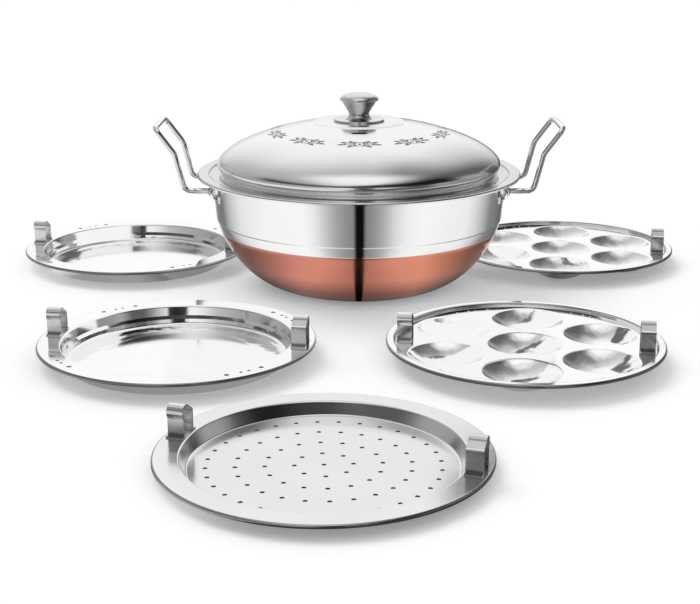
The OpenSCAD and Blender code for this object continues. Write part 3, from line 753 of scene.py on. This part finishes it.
def bowl_path(s):
    """The steel under the copper, then the step out above it, the wall, the ledge and the turned-down flange."""
    lower = shifted(copper_path(s), s.copper_t + s.seam)
    z = s.copper_h + np.array([0.9, 3.5, 5.5, 7.5])
    bowl = np.column_stack([bowl_radius(s, z), z])
    under = s.height - s.sheet
    upper = [[s.belly_r, s.belly_h], [s.foot_r, s.foot_z], [s.top_r, s.ledge_z], [s.ledge_r, s.ledge_z],
             [s.ledge_r, under], [s.flange_r - s.sheet, under], [s.flange_r - s.sheet, under - s.hem + 0.4]]
    radii = [0.0] * (len(lower) - 2) + [0.3, 1.3, 0, 0, 0, 0.8, 1.4, 0.6, 1.4, 0.4, 0.5]
    return spaced(rounded([*lower, *bowl, *upper], radii))


class STEAMER_OT_pot(bpy.types.Operator):
    """Draws the steel pot and the copper layer round its lower bowl"""

    bl_idname = "steamer.pot"
    bl_label = "Pot"

    def execute(self, context):
        s = read("pot")
        bowl, layer = Shell(), Shell()
        bowl.turned(sheet_outline(bowl_path(s), s.sheet))
        bowl.piece("Steel_pot", pot_finish(), BODY_OF_POT, "kadai_bowl", "pot_steel")
        layer.turned(sheet_outline(spaced(copper_path(s)), s.copper_t))
        copper = layer.piece("Copper_bottom", copper_finish(), BODY_OF_POT, "copper_base", "copper_bottom")
        copper.visible_diffuse = copper.visible_glossy = False   # no copper tint on the table or in the plates
        return {"FINISHED"}


# ---- Handles and brackets ----

def wall_turn(h):
    """Angle round the pot where the wire meets the wall: sin a = (half span + bend) / (wall radius + bend)."""
    return math.asin((h.half_span + h.hook_bend) / (h.wall_r + h.hook_bend))


def half_handle(h):
    """Half of a handle's centreline on the right: the top bar's middle, the upright with its kink, the level run,
    the turn on to the wall, the run round the wall and the hook that turns up."""
    y, z, turn_on = h.half_span, h.wire_z, wall_turn(h)
    start = [(h.wall_r + h.hook_bend) * math.cos(turn_on), y, z]
    grip = rounded([[h.grip_x, 0, h.grip_z], [h.grip_x, y, h.grip_z], [h.kink_x, y, h.kink_z], [h.bend_x, y, z],
                    start], [h.bend, 2 * h.bend, h.bend])
    on_wall = bend(np.array(start), h.hook_bend, (-1, 0, 0), (0, 1, 0),
                   np.radians(np.arange(BEND_STEP, 90 + math.degrees(turn_on), BEND_STEP)))
    w = np.linspace(turn_on, turn_on + h.hook_run / h.wall_r, 5)
    round_wall = np.column_stack([h.wall_r * np.cos(w), h.wall_r * np.sin(w), np.full(5, z)])
    up = bend(round_wall[-1], h.hook_bend, (-math.sin(w[-1]), math.cos(w[-1]), 0), (0, 0, 1),
              np.radians(np.arange(BEND_STEP, 91, BEND_STEP)))
    return spaced(np.vstack([grip, on_wall, round_wall, up, [[*up[-1][:2], h.hook_top]]]), 5.0, 0.5)


def tube(path, radius, sides=20):
    """Points of a round bar along a path: centre + radius (cos b N + sin b B), where N and B are square to the
    path and kept steady by one fixed direction that the path never follows. Its ends are closed in four rings,
    set in by 0.35 radius (1 - sqrt(1 - s^2)) at a share s of the radius."""
    ways = unit(np.gradient(path, axis=0))
    steady = np.array([0.75, 0.3, -0.6])
    n = unit(steady - (ways @ steady)[:, None] * ways)
    b = np.cross(ways, n)
    end = np.array([0.0, 0.55, 0.85, 1.0])
    inset = 0.35 * radius * (1 - np.sqrt(1 - end ** 2))[:, None]
    inner = np.arange(1, len(path) - 1)
    rows = np.concatenate([[0] * 4, inner, [len(path) - 1] * 4])
    centres = np.vstack([path[0] + ways[0] * inset, path[inner], path[-1] - ways[-1] * inset[::-1]])[:, None]
    scale = radius * np.concatenate([end, np.ones(len(inner)), end[::-1]])[:, None, None]
    a = ring_angles(sides)[None, :, None]
    return centres + scale * (np.cos(a) * n[rows][:, None] + np.sin(a) * b[rows][:, None])


def on_both_sides(shell, name, finish, node, slot, **edges):
    """Makes a piece turned half round to the left, and again on the right."""
    for side, flip in (("left", (-1, -1, 1)), ("right", (1, 1, 1))):
        shell.piece(f"{name}_{side}", finish, BODY_OF_POT, f"{node}_{side}", slot, lambda points: points * flip,
                    **edges)


class STEAMER_OT_handles(bpy.types.Operator):
    """Draws the two bent wire handles"""

    bl_idname = "steamer.handles"
    bl_label = "Handles"

    def execute(self, context):
        h, wire = read("handle"), Shell()
        half = half_handle(h)
        wire.grid(tube(np.vstack([half[::-1] * np.array([1.0, -1.0, 1.0]), half[1:]]), h.wire_r), wrap_cols=True)
        on_both_sides(wire, "Wire_handle", wire_finish(), "handle", "handle_steel", sharp=60)
        return {"FINISHED"}


def bracket_faces(s, b, h):
    """The two faces of a strap round the wall on a grid of angle and height, and which of its cells to keep. Its
    radius is the wall's, plus each hump's rise sin(pi s)^0.7 over the wire, minus a bell-shaped dimple
    exp(-(d / r)^4) at each spot weld. A hump is slit free at its sides, and the wire leaves through a slot."""
    hump_from = wall_turn(h) + math.radians(0.4)
    hump_to = hump_from + math.asin(b.hump_w / h.wall_r)
    slit, slot_half, slot_turn = math.radians(0.12), 3.3, math.radians(3)
    low, high = b.low + b.foot, b.high - b.foot
    half = np.concatenate([np.linspace(0, hump_from - 3 * slit, 56), [hump_from - slit],
                           np.linspace(hump_from + slit, hump_to - slit, 12), [hump_to + slit, b.half_turn]])
    a = np.concatenate([-half[:0:-1], half])
    z = np.unique([b.low, b.high, *np.linspace(low, high, 45), h.wire_z - slot_half, h.wire_z + slot_half])
    angle, height = np.meshgrid(a, z, indexing="ij")
    over = (np.abs(angle) > hump_from) & (np.abs(angle) < hump_to)
    along = np.clip((height - low) / (high - low), 0, 1)
    inner_r = wall_radius(s, height) + s.seam + np.where(over, b.hump_rise * np.sin(math.pi * along) ** 0.7, 0.0)
    dimple = sum(0.3 * np.exp(-(np.hypot((angle - math.radians(turn)) * h.wall_r, height - h.wire_z) / b.weld_r) ** 4)
                 for turn in WELD_TURNS)
    faces = [np.stack([r * np.cos(angle), r * np.sin(angle), height], axis=-1)
             for r in (inner_r + b.sheet - dimple, inner_r)]
    mid_a, mid_z = np.abs((a[1:] + a[:-1]) / 2)[:, None], ((z[1:] + z[:-1]) / 2)[None]
    beside = (np.abs(mid_a - hump_from) < slit) | (np.abs(mid_a - hump_to) < slit)
    hump = (mid_a > hump_from) & (mid_a < hump_to)
    slot = (np.abs(mid_z - h.wire_z) < slot_half) & (mid_a > wall_turn(h) - slot_turn) & ~hump
    return *faces, ~(beside & (mid_z > low) & (mid_z < high)) & ~slot


class STEAMER_OT_brackets(bpy.types.Operator):
    """Draws the spot-welded straps that hold the handles"""

    bl_idname = "steamer.brackets"
    bl_label = "Brackets"

    def execute(self, context):
        strap = Shell()
        strap.slab(*bracket_faces(read("pot"), read("bracket"), read("handle")))
        on_both_sides(strap, "Handle_bracket", bracket_finish(), "handle_bracket", "bracket_steel", bevel=0.18)
        return {"FINISHED"}


# ---- Lid and knob ----

def dome_height(s, r):
    """Height of the dome at a radius: foot + crown (1 - (r / R)^1.6)^0.57, a superellipse."""
    return s.dome_z + (s.dome_h - s.boss_rise) * (1 - (np.asarray(r, float) / s.dome_r) ** 1.6) ** 0.57


def boss_top(s):
    return float(dome_height(s, s.boss_r + 4)) + s.boss_rise


def lid_path(s):
    """The lid's outside from its lip: the lip, the skirt, the rolled edge, the dome and the raised middle. The dome
    is followed by its height up to half way and by its radius from there, so that its steep edge stays smooth."""
    roll, top = (s.dome_r - s.skirt_r) / 2, s.foot_z + s.sheet
    lip = rounded([[s.lip_r - 0.3, top], [s.skirt_r, top], [s.skirt_r, s.dome_z - 2 * roll],
                   [s.dome_r - roll, s.dome_z - 2 * roll]], [1.2, 0.5])
    edge = arc([s.dome_r - roll, s.dome_z - roll], roll, np.linspace(-90, 0, 10)[1:])
    w = 0.5 * np.linspace(0, 1, 34)[1:] ** 1.5
    steep = np.column_stack([s.dome_r * (1 - w ** (1 / 0.57)) ** 0.625, s.dome_z + (s.dome_h - s.boss_rise) * w])
    slot = s.slot_at + s.slot_w / 2 * np.array([1, 0.8, 0.5, 0.2, 0, -0.2, -0.5, -0.8, -1])
    r = np.concatenate([np.arange(steep[-1][0] - 2.5, slot[0] + 1.5, -2.5), slot,
                        np.arange(slot[-1] - 1.5, s.boss_r + 5.5, -1.5)])
    gentle = np.column_stack([r, dome_height(s, r)])
    foot = boss_top(s) - s.boss_rise
    middle = rounded([gentle[-1], [s.boss_r + 4, foot], [s.boss_r + 0.4, boss_top(s)], [0, boss_top(s)]], [3, 4], 2.0)
    return np.vstack([lip, edge, [[s.dome_r, s.dome_z]], steep, gentle, spaced(middle[1:], 8.0, 1.0)])


def lid_shell(s):
    """The lid as a turned sheet with its steam slot. The points at the slot are drawn in to its round ends, the
    faces inside it are left out on both sides, and a wall joins the two outlines."""
    path, steps, half_w, front = lid_path(s)[::-1], 4, s.slot_w / 2, -math.pi / 2
    outline = sheet_outline(path, -s.sheet)
    count = len(outline)
    rows = np.flatnonzero(np.abs(path[:, 0] - s.slot_at) <= half_w + 1e-6)
    first, last = rows[0], rows[-1]
    angles = np.broadcast_to((ring_angles(TURNS) + front)[:, None], (TURNS, count)).copy()
    away = path[rows, 0] - s.slot_at
    reach = (s.slot_l / 2 - half_w + np.sqrt(np.maximum(0, half_w ** 2 - away ** 2))) / s.slot_at
    offsets = np.arange(-steps, steps + 1)
    for columns in (rows, count - 1 - rows):
        angles[np.ix_(offsets % TURNS, columns)] = front + offsets[:, None] / steps * reach
    points = turned(outline, angles=angles)
    keep = np.ones((TURNS, count - 1), bool)
    for start, end in ((first, last), (count - 1 - last, count - 1 - first)):
        keep[np.ix_(offsets[:-1] % TURNS, np.arange(start, end))] = False
    shell = Shell()
    shell.grid(points, wrap_rows=True, keep=keep)
    loop = ([(o, first) for o in offsets] + [(steps, row) for row in range(first + 1, last + 1)]
            + [(o, last) for o in offsets[-2::-1]] + [(-steps, row) for row in range(last - 1, first - 1, -1)])
    shell.grid(np.array([[points[o % TURNS, row], points[o % TURNS, count - 1 - row]] for o, row in loop]))
    return shell


def knob_outlines(k):
    """Outlines of the knob's pieces above z = 0: the disc; the waisted body, whose radius falls to its neck as
    (1 - z / n)^1.6 and rises from it as u^(0.85 + 0.35 (1 - u)); and the cap with its lip and low dome."""
    disc = rounded([[0, 0], [k.disc_r - 0.3, 0], [k.disc_r, 0.4], [k.disc_r, k.disc_t], [0, k.disc_t]],
                   [0.1, 0.1, 0.5])
    z = np.linspace(0, 1, 12)[1:] * k.neck_z
    foot = np.column_stack([k.neck_r + (k.foot_r - k.neck_r) * (1 - z / k.neck_z) ** 1.6, z])
    u = np.linspace(0, 1, 24)[1:]
    flare = np.column_stack([k.neck_r + (k.shoulder_r - k.neck_r) * u ** (0.85 + 0.35 * (1 - u)),
                             k.neck_z + (k.height - k.neck_z) * u])
    body = np.vstack([[[0, 0], [k.foot_r - 0.4, 0], [k.foot_r, 0.25]], foot, flare, [[0, k.height]]])
    lip, dome_z = 1.6, 2.2
    t = np.radians(np.linspace(14, 90, 26))
    dome = np.column_stack([(k.cap_r - 0.6) * np.cos(t) ** 0.9, dome_z + (k.cap_h - dome_z) * np.sin(t)])
    dome[-1, 0] = 0.0
    edge = arc([k.cap_r - lip, lip], lip, np.linspace(-80, 62, 14))
    return disc, body, np.vstack([[[0, 0], [k.shoulder_r, 0]], edge, dome])


class STEAMER_OT_lid(bpy.types.Operator):
    """Draws the domed lid with its steam slot, its knob and the disc under it"""

    bl_idname = "steamer.lid"
    bl_label = "Lid"

    def execute(self, context):
        s, k = read("lid"), read("knob")
        lid_shell(s).piece("Domed_lid", lid_finish(), "lid", "lid_shell", "lid_steel")
        finish, metal, z = knob_finish(), screw_finish(), boss_top(s)
        for outline, name, node, height in zip(
                knob_outlines(k), ("Knob_disc", "Knob_body", "Knob_cap"), ("knob_rose", "knob_body", "knob_cap"),
                (k.disc_t, k.height + KNOB_SEAM, k.cap_h)):
            turning = Shell()
            turning.turned(spaced(outline, 4.0, 0.3) + np.array([0.0, z]), KNOB_TURNS)
            turning.piece(name, finish, "lid", node, "knob_steel")
            z += height
        for node in ("knob_screw", "screw_washer"):
            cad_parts[node].data.materials.clear()
            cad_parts[node].data.materials.append(metal)
        return {"FINISHED"}


# ---- Plates ----

PLATES = (   # body, node, kind, place in millimetres, turn in degrees
    ("dhokla_front", "dhokla_plate_front", "dhokla", (-145.0, -230.0), -9.0),
    ("dhokla_rear", "dhokla_plate_rear", "dhokla", (-223.0, 80.0), -9.0),
    ("idli_front", "idli_plate_front", "idli", (130.0, -233.0), -9.0),
    ("idli_rear", "idli_plate_rear", "idli", (205.0, 84.0), -9.0),
    ("steam", "steam_plate", "steam", (-25.0, -450.0), -18.0),
)


def at_plate(centre, turn):
    """Turns points round the plate's axis and moves them to its place on the table."""
    c, k = math.cos(math.radians(turn)), math.sin(math.radians(turn))
    spin = np.array([[c, k, 0.0], [-k, c, 0.0], [0.0, 0.0, 1.0]])
    return lambda points: points @ spin + np.array([*centre, 0.0])


def hole(r, degrees, size):
    """A small round hole at a radius and an angle: its x, y, radius and steps."""
    a = math.radians(degrees)
    return r * math.cos(a), r * math.sin(a), size, HOLE_STEPS


def hole_groups(r, turns, large, small):
    """Round holes in groups: two large ones 8.5 degrees from the group's middle, two small ones 1.9 from it."""
    return [hole(r, group + apart, size) for group in turns
            for apart, size in ((-8.5, large), (-1.9, small), (1.9, small), (8.5, large))]


def index_of(path, r):
    return int(np.argmin(np.abs(path[:, 0] - r) + 1e-6 * np.arange(len(path))))


def dish_corners(p, flange, deep):
    """Where a dish's floor, leaning wall and flange would meet, seen from below."""
    r = p.radius - flange
    slope = p.lean / (deep - 2.2)
    return r - p.lean - slope * 1.2, r + slope


def edge_corners(p, z):
    """The last corners of every plate: its flange at a height, and the edge that turns down."""
    end = p.radius - p.sheet
    return [[end, z], [end, z - p.hem + 0.35]]


def dhokla_plate(p):
    """A dish with a flat flange: floor, leaning wall, flange with groups of holes, and a turned-down edge."""
    low, high = dish_corners(p, p.dhokla_flange, p.dhokla_deep)
    deep = p.dhokla_deep
    ring = (high + 2.6, p.radius - p.sheet - 1.4)
    path = spaced(rounded([[0, 0], [low, 0], [high, deep], [ring[0], deep], [ring[1], deep], *edge_corners(p, deep)],
                          [3.2, 0.9, 0, 0, 0.5]))
    shell = Shell()
    for face in (path, shifted(path, p.sheet)):
        shell.turned(face[:index_of(path, ring[0]) + 1])
    shell.turned(sheet_outline(path, p.sheet, index_of(path, ring[1])))
    holes = hole_groups(p.radius - p.dhokla_flange / 2, (45, 135, 225, 315), p.big_hole, p.small_hole)
    shell.level_sheet(deep, deep + p.sheet, ring[1], holes, ring[0])
    return shell


def steam_plate(p):
    """A shallow dish whose floor has rings of steam holes: one in the middle, then 8, 16, 24 and 32."""
    low, high = dish_corners(p, p.steam_flange, p.steam_deep)
    floor = low - 3.6
    path = spaced(rounded([[floor, 0], [low, 0], [high, p.steam_deep], *edge_corners(p, p.steam_deep)],
                          [2.6, 0.9, 0.5]))
    shell = Shell()
    shell.turned(sheet_outline(path, p.sheet))
    holes = [hole(0.0, 0.0, p.steam_hole)] + [hole(ring * p.steam_pitch, (k + ring / 2) * 45 / ring, p.steam_hole)
                                              for ring in range(1, 5) for k in range(8 * ring)]
    shell.level_sheet(0.0, p.sheet, floor, holes)
    return shell


def cup_path(p, patch):
    """A cup's underside from its axis, z = depth (r / R)^2.4, and the bend into the level sheet."""
    r = np.linspace(0, p.cup_r, 26)
    curve = [*np.column_stack([r, p.cup_deep * (r / p.cup_r) ** 2.4]), [patch, p.cup_deep]]
    return rounded(curve, [0.0] * (len(curve) - 3) + [0.9])


def idli_plate(p):
    """A level sheet with a raised rim and seven cups pressed down into it."""
    z, well, top = p.cup_deep, p.radius - p.idli_rim, p.cup_deep + p.idli_rim_h
    sheet_r, patch = well - 2.2, p.cup_r + 1.6
    path = spaced(rounded([[sheet_r, z], [well - 0.2, z], [well + 0.2, top], *edge_corners(p, top)],
                          [1.3, 0.6, 0.5]))
    shell = Shell()
    shell.turned(sheet_outline(path, p.sheet))
    a = np.radians(30 + 60 * np.arange(6))
    centres = [(0.0, 0.0), *zip(p.cup_pitch * np.cos(a), p.cup_pitch * np.sin(a))]
    cup = cup_path(p, patch)
    for centre in centres:
        for face in (cup, shifted(cup, p.sheet)):
            shell.turned(face, CUP_TURNS, centre)
    holes = [(*centre, patch, CUP_TURNS) for centre in centres]
    holes += hole_groups(well - 7, (60, 120, 240, 300), p.small_hole, p.small_hole)
    shell.level_sheet(z, z + p.sheet, sheet_r, holes)
    return shell


class STEAMER_OT_plates(bpy.types.Operator):
    """Draws the five steaming plates"""

    bl_idname = "steamer.plates"
    bl_label = "Plates"

    def execute(self, context):
        p = read("plates")
        makers = {"dhokla": dhokla_plate, "idli": idli_plate, "steam": steam_plate}
        for body, node, kind, centre, turn in PLATES:
            finish = polished_sheet(f"{body} sheet", centre, turn, kind)
            makers[kind](p).piece(f"{body}_sheet", finish, body, node, "plate_steel", at_plate(centre, turn))
        return {"FINISHED"}


# ---- Clips ----

def clip_path(c):
    """A clip's inner face, seen along the strip: a foot, a plain leg with a corner, the slope up to the rolled end,
    the roll standing out beyond the other leg, that leg and its foot."""
    half = c.gap / 2
    centre = (half + 1.3 - c.roll, c.height - c.sheet - c.roll)
    roll = arc(centre, c.roll, np.linspace(118, -38, 22))
    first = rounded([[-half - c.foot, 0], [-half, 0], [-half, c.leg + 0.2], roll[0]], [1.1, 1.3])
    last = rounded([roll[-1], [half, centre[1] - c.roll * 0.95], [half, 0], [half + c.foot, 0]], [0.8, 1.1])
    return spaced(np.vstack([first[:-1], roll, last[1:]]), 3.0, 0.3)


class STEAMER_OT_clips(bpy.types.Operator):
    """Draws the ten lifting clips, two on each plate"""

    bl_idname = "steamer.clips"
    bl_label = "Clips"

    def execute(self, context):
        c, p = read("clip"), read("plates")
        inner, across = clip_path(c), np.linspace(-c.width / 2, c.width / 2, 4)
        clear = 1.4 + c.width / 2            # from a dish's wall to the strip's middle
        stands = {
            "dhokla": (p.radius - p.dhokla_flange + clear, p.dhokla_deep + p.sheet),
            "steam": (p.radius - p.steam_flange + clear, p.steam_deep + p.sheet),
            "idli": (p.radius - p.idli_rim - 2.6 - c.width / 2, p.cup_deep + p.sheet),
        }
        for body, _, kind, centre, turn in PLATES:
            r, z = stands[kind]
            finish = clip_finish(f"{body} clip", centre, turn, z)
            faces = [np.stack(np.broadcast_arrays(r + across[None], face[:, :1], z + face[:, 1:]), axis=-1)
                     for face in (shifted(inner, c.sheet), inner)]
            strip = Shell()
            strip.slab(*faces)
            for side, half_turn in (("right", 0.0), ("left", 180.0)):
                strip.piece(f"{body}_lifting_clip_{side}", finish, body, f"{body}_clip_{side}", "clip_steel",
                            at_plate(centre, turn + half_turn), bevel=0.2)
        return {"FINISHED"}


# ---- Studio ----

# How bright the table glows to metal, a painted reflection that is dark as painted shadow under the pot, at a distance
# in metres from the pot's axis
TABLE_LEVELS = ((0.07, 0.08), (0.095, 0.36), (0.118, 0.92), (0.172, 1.0), (0.182, 0.36), (0.42, 0.28), (0.50, 0.08),
                (0.8, 0.08))
# How bright it sees the surroundings at a number of degrees up, on each side, and from left to right
LOW_SKY = ((0, 0.60), (6, 0.85), (11, 1.0), (19.5, 1.0))
BEHIND_LEFT = LOW_SKY + ((46, 1.0), (58, 0.82), (70, 0.60), (82, 0.46), (90, 0.85))
BEHIND_RIGHT = LOW_SKY + ((44, 0.95), (52, 0.74), (60, 0.46), (70, 0.30), (82, 0.32), (90, 0.7))
FRONT_LEFT = ((0, 0.35), (4, 0.92), (18, 1.0), (21, 0.20), (34, 0.14), (40, 0.72), (60, 0.95), (68, 1.0), (84, 1.0),
              (90, 0.8))
FRONT_RIGHT = ((0, 0.35), (4, 0.90), (17, 0.96), (20, 0.06), (45, 0.02), (48.5, 0.42), (60, 0.70), (68, 0.96),
               (84, 1.0), (90, 0.8))
SIDE_LEVELS = ((-1, 0.38), (-0.8, 0.44), (-0.55, 0.56), (-0.35, 0.84), (-0.2, 1.0), (0.2, 1.0), (0.32, 0.76),
               (0.42, 0.54), (0.52, 0.30), (0.64, 0.12), (0.8, 0.12), (0.9, 0.42), (1, 0.30))
# How bright the tent is at an angle round the pot from its front, right positive
TENT_LEVELS = (
    (-180, 0.9), (-172, 0.95), (-128, 1.0), (-108, 0.9), (-98, 0.25), (-82, 0.20), (-70, 0.62), (-61, 0.84),
    (-54, 0.92), (-44, 1.0), (-24, 1.03), (-19, 0.90), (-15, 0.66), (-10, 0.42), (-5.5, 0.30), (-2.6, 0.26),
    (-2.2, 0.004), (2.0, 0.004), (2.4, 0.24), (5.5, 0.30), (10, 0.46), (15, 0.76), (20, 0.95), (28, 1.02), (52, 0.92),
    (60, 0.70), (73, 0.26), (98, 0.12), (108, 0.85), (128, 1.0), (172, 0.95), (180, 0.9))
# Outlines of the tent and of the screen before the pot, in millimetres
TENT = [(155, 17), (155, 107.4)]
SCREEN = [(67, 0.5), (93, 7), (109, 16), (126, 31), (150, 60), (188, 82), (190, 184)]
# Each lamp's name and setting, where it stands, and its spread in degrees
LAMPS = (("Key light", "key", (-1.0, 0.55, 1.9), 40), ("Fill", "fill", (1, -2, 2), 60))


def stage_piece(name, points, faces, material, reflected_only=True):
    """A piece of the studio: the table, or a card that only reflections see."""
    mesh = bpy.data.meshes.new(name)
    mesh.from_pydata(np.asarray(points).tolist(), [], np.asarray(faces).tolist())
    mesh.materials.append(material)
    piece = new_object(name, mesh)
    if reflected_only:
        piece.visible_camera = piece.visible_diffuse = piece.visible_shadow = piece.visible_transmission = False


def painted(name, paint):
    """A material whose shader a function makes in its node tree."""
    material = bpy.data.materials.new(name)
    g = Graph(material)
    g.node("OutputMaterial", {0: paint(g)})
    return material


def table_paint(g):
    """White table. Cameras see it lifted to white, with its shadows. To metal it glows as a painted reflection: white
    round the pot, dark under the pot as painted shadow and greyer away from it, paler at the left, with the painted
    dark line of a narrow flag that widens with its distance."""
    x, y, _ = g.parts(g.node("NewGeometry"))
    away = away_from_axis(x, y)
    side = abs(x) / away
    # painted reflection: levels that only metal sees, with painted shadow under the pot and darker patches beside it
    level = g.level(away, TABLE_LEVELS) * (1 - side.above(0.78, 0.4) * away.below(0.19, 0.04) * 0.74)
    level = level.most(side.above(0.82, 0.1) * away.above(0.40, 0.05) * 0.30)
    pale = x.below(-0.28, 0.04).most(x.below(-0.21, 0.04) * y.below(-0.28, 0.04))
    level = level.most(pale.most(x.below(-0.09, 0.04) * away.above(0.49, 0.03)) * 0.8)
    level = level * (1 - x.above(0.17, 0.03) * away.below(0.32, 0.05) * 0.55)
    level = level * (1 - x.near(0.0, 0.05) * away.below(0.23, 0.03) * 0.45)
    # painted reflection: the dark line of a narrow flag, which only metal sees
    half = (y * -1.0 - 0.06) * 0.06 + 0.0016
    flag = ((half - abs(x + 0.0004)) / 0.001 + 0.5).clamped() * y.below(-0.03, 0.002) * y.above(-0.205, 0.01)
    camera = g.ray("Camera")
    plain = g.node("BsdfDiffuse", {"Color": camera * 0.26 + 0.88})
    return g.either(g.ray("Glossy"), g.either(camera * 0.22, plain, g.glow(1.0)), g.glow(level * (1 - flag * 0.98)))


def sky(world, strength):
    """The surroundings: white to the camera, even to matt surfaces, and to metal a light tent with a grey roof and a
    dark gap on the photographer's side, darkest at the right, with a narrow black flag in front."""
    g = Graph(world)
    x, y, z = g.parts(g.node("TexCoord", out="Generated"))
    up = z.do("ARCSINE") * math.degrees(1)
    behind = g.mix(x.above(0.15, 0.16), g.level(up, BEHIND_LEFT), g.level(up, BEHIND_RIGHT))
    front = g.mix((x - up * 0.028).above(-1.2, 0.3), g.level(up, FRONT_LEFT), g.level(up, FRONT_RIGHT))
    front = front * (1 - abs(x).below(0.07, 0.01) * up.below(19.0, 1.0) * 0.97)
    mirrored = g.mix(y.below(0.03, 0.25), behind, front) * g.level(x, SIDE_LEVELS) * 1.05
    plain, metal, white = (g.node("Background", {"Color": (1.0, 1.0, 1.0, 1.0), "Strength": level})
                           for level in (strength, mirrored, 1.0))
    shown = g.either(g.ray("Camera"), g.either(g.ray("Glossy"), plain, metal), white)
    g.node("OutputWorld", {0: shown})


def round_card(name, outline, inwards, levels):
    """A round card about the pot, turned from its outline in millimetres. It glows on one side only."""
    def paint(g):
        sides = [g.glow(levels(g, *g.parts(g.node("TexCoord", out="Object")))), g.node("BsdfTransparent")]
        return g.either(g.node("NewGeometry", out="Backfacing"), *(sides[::-1] if inwards else sides))

    points = turned(np.array(outline, float), CARD_TURNS) * MM
    faces = grid_cells(*points.shape[:2], wrap_rows=True).reshape(-1, 4)
    stage_piece(name, points.reshape(-1, 3), faces, painted(name, paint))


def screen_levels(g, x, y, z):
    """White where the plates' flat floors look at it, and dark at the upper right, for the shapes in the cups."""
    dark = (z.above(0.095, 0.012) * x.above(0.135, 0.015)).most(z.above(0.130, 0.01) * x.above(0.075, 0.02))
    return 1 - dark * 0.85


def tent_levels(g, x, y, z):
    """Bright sides with the dark line of a narrow flag, a dark gap at each end, and a thin dark line near the top."""
    turn = x.angle(y * -1.0) * math.degrees(1)
    return g.level(turn, TENT_LEVELS) * (1 - z.above(0.0975, 0.001) * z.below(0.1005, 0.001) * 0.93)


class STEAMER_OT_studio(bpy.types.Operator):
    """Makes the white table, the surroundings, the lamps and the camera"""

    bl_idname = "steamer.studio"
    bl_label = "Studio"

    def execute(self, context):
        scene, s = context.scene, context.scene.steamer.studio
        reach, drop = 25.0, -0.0002
        corners = [(-reach, -reach, drop), (reach, -reach, drop), (reach, reach, drop), (-reach, reach, drop)]
        stage_piece("Table", corners, [(0, 1, 2, 3)], painted("White table", table_paint), reflected_only=False)
        scene.world = bpy.data.worlds.new("White surroundings")
        sky(scene.world, s.sky)
        for name, strength, place, spread in LAMPS:
            lamp = bpy.data.lights.new(name, "SUN")
            lamp.energy, lamp.angle = getattr(s, strength), math.radians(spread)
            obj = new_object(name, lamp)
            obj.visible_glossy = False
            obj.location = place
            obj.rotation_euler = (-Vector(place)).to_track_quat("-Z", "Y").to_euler()
        round_card("Tent_round_the_pot", TENT, True, tent_levels)
        round_card("Screen_before_the_pot", SCREEN, False, screen_levels)
        left, right, back, top = -0.06, 0.44, -2.2, 0.75
        corners = [(left, back, 0), (right, back, 0), (right, back, top), (left, back, top)]
        stage_piece("Flag_behind_the_camera", corners, [(0, 1, 2, 3)], painted("Black flag", lambda g: g.glow(0.02)))
        camera = bpy.data.cameras.new("Camera")
        camera.lens, camera.sensor_width = s.lens, 36.0
        camera.clip_start, camera.clip_end = 0.05, 80.0
        scene.camera = new_object("Camera", camera)
        scene.camera.location = s.camera
        scene.camera.rotation_euler = (math.pi / 2 - s.tilt, 0.0, 0.0)
        scene.view_settings.view_transform = "Standard"
        return {"FINISHED"}


# ---- Panel ----

PIECES = (STEAMER_OT_studio, STEAMER_OT_pot, STEAMER_OT_handles, STEAMER_OT_brackets, STEAMER_OT_lid,
          STEAMER_OT_plates, STEAMER_OT_clips)


class STEAMER_PT_panel(bpy.types.Panel):
    """Lists the steamer's pieces and their sizes"""

    bl_idname = "STEAMER_PT_panel"
    bl_label = "Idli steamer"
    bl_space_type = "VIEW_3D"
    bl_region_type = "UI"
    bl_category = "Steamer"

    def draw(self, context):
        for operator in PIECES:
            self.layout.operator(operator.bl_idname)
        for group in STEAMER_PG_all.__annotations__:
            box, settings = self.layout.box(), getattr(context.scene.steamer, group)
            box.label(text=group.capitalize())
            for prop in settings.bl_rna.properties:
                if prop.identifier not in HIDDEN:
                    box.prop(settings, prop.identifier)


CLASSES = (STEAMER_PG_pot, STEAMER_PG_handle, STEAMER_PG_bracket, STEAMER_PG_lid, STEAMER_PG_knob,
           STEAMER_PG_plates, STEAMER_PG_clip, STEAMER_PG_finish, STEAMER_PG_studio, STEAMER_PG_all,
           *PIECES, STEAMER_PT_panel)


def register():
    for cls in CLASSES:
        bpy.utils.register_class(cls)
    bpy.types.Scene.steamer = PointerProperty(type=STEAMER_PG_all)


def unregister():
    del bpy.types.Scene.steamer
    for cls in reversed(CLASSES):
        bpy.utils.unregister_class(cls)


def main():
    register()
    for operator in PIECES:
        group, name = operator.bl_idname.split(".")
        getattr(getattr(bpy.ops, group), name)()


if __name__ == "__main__":
    main()
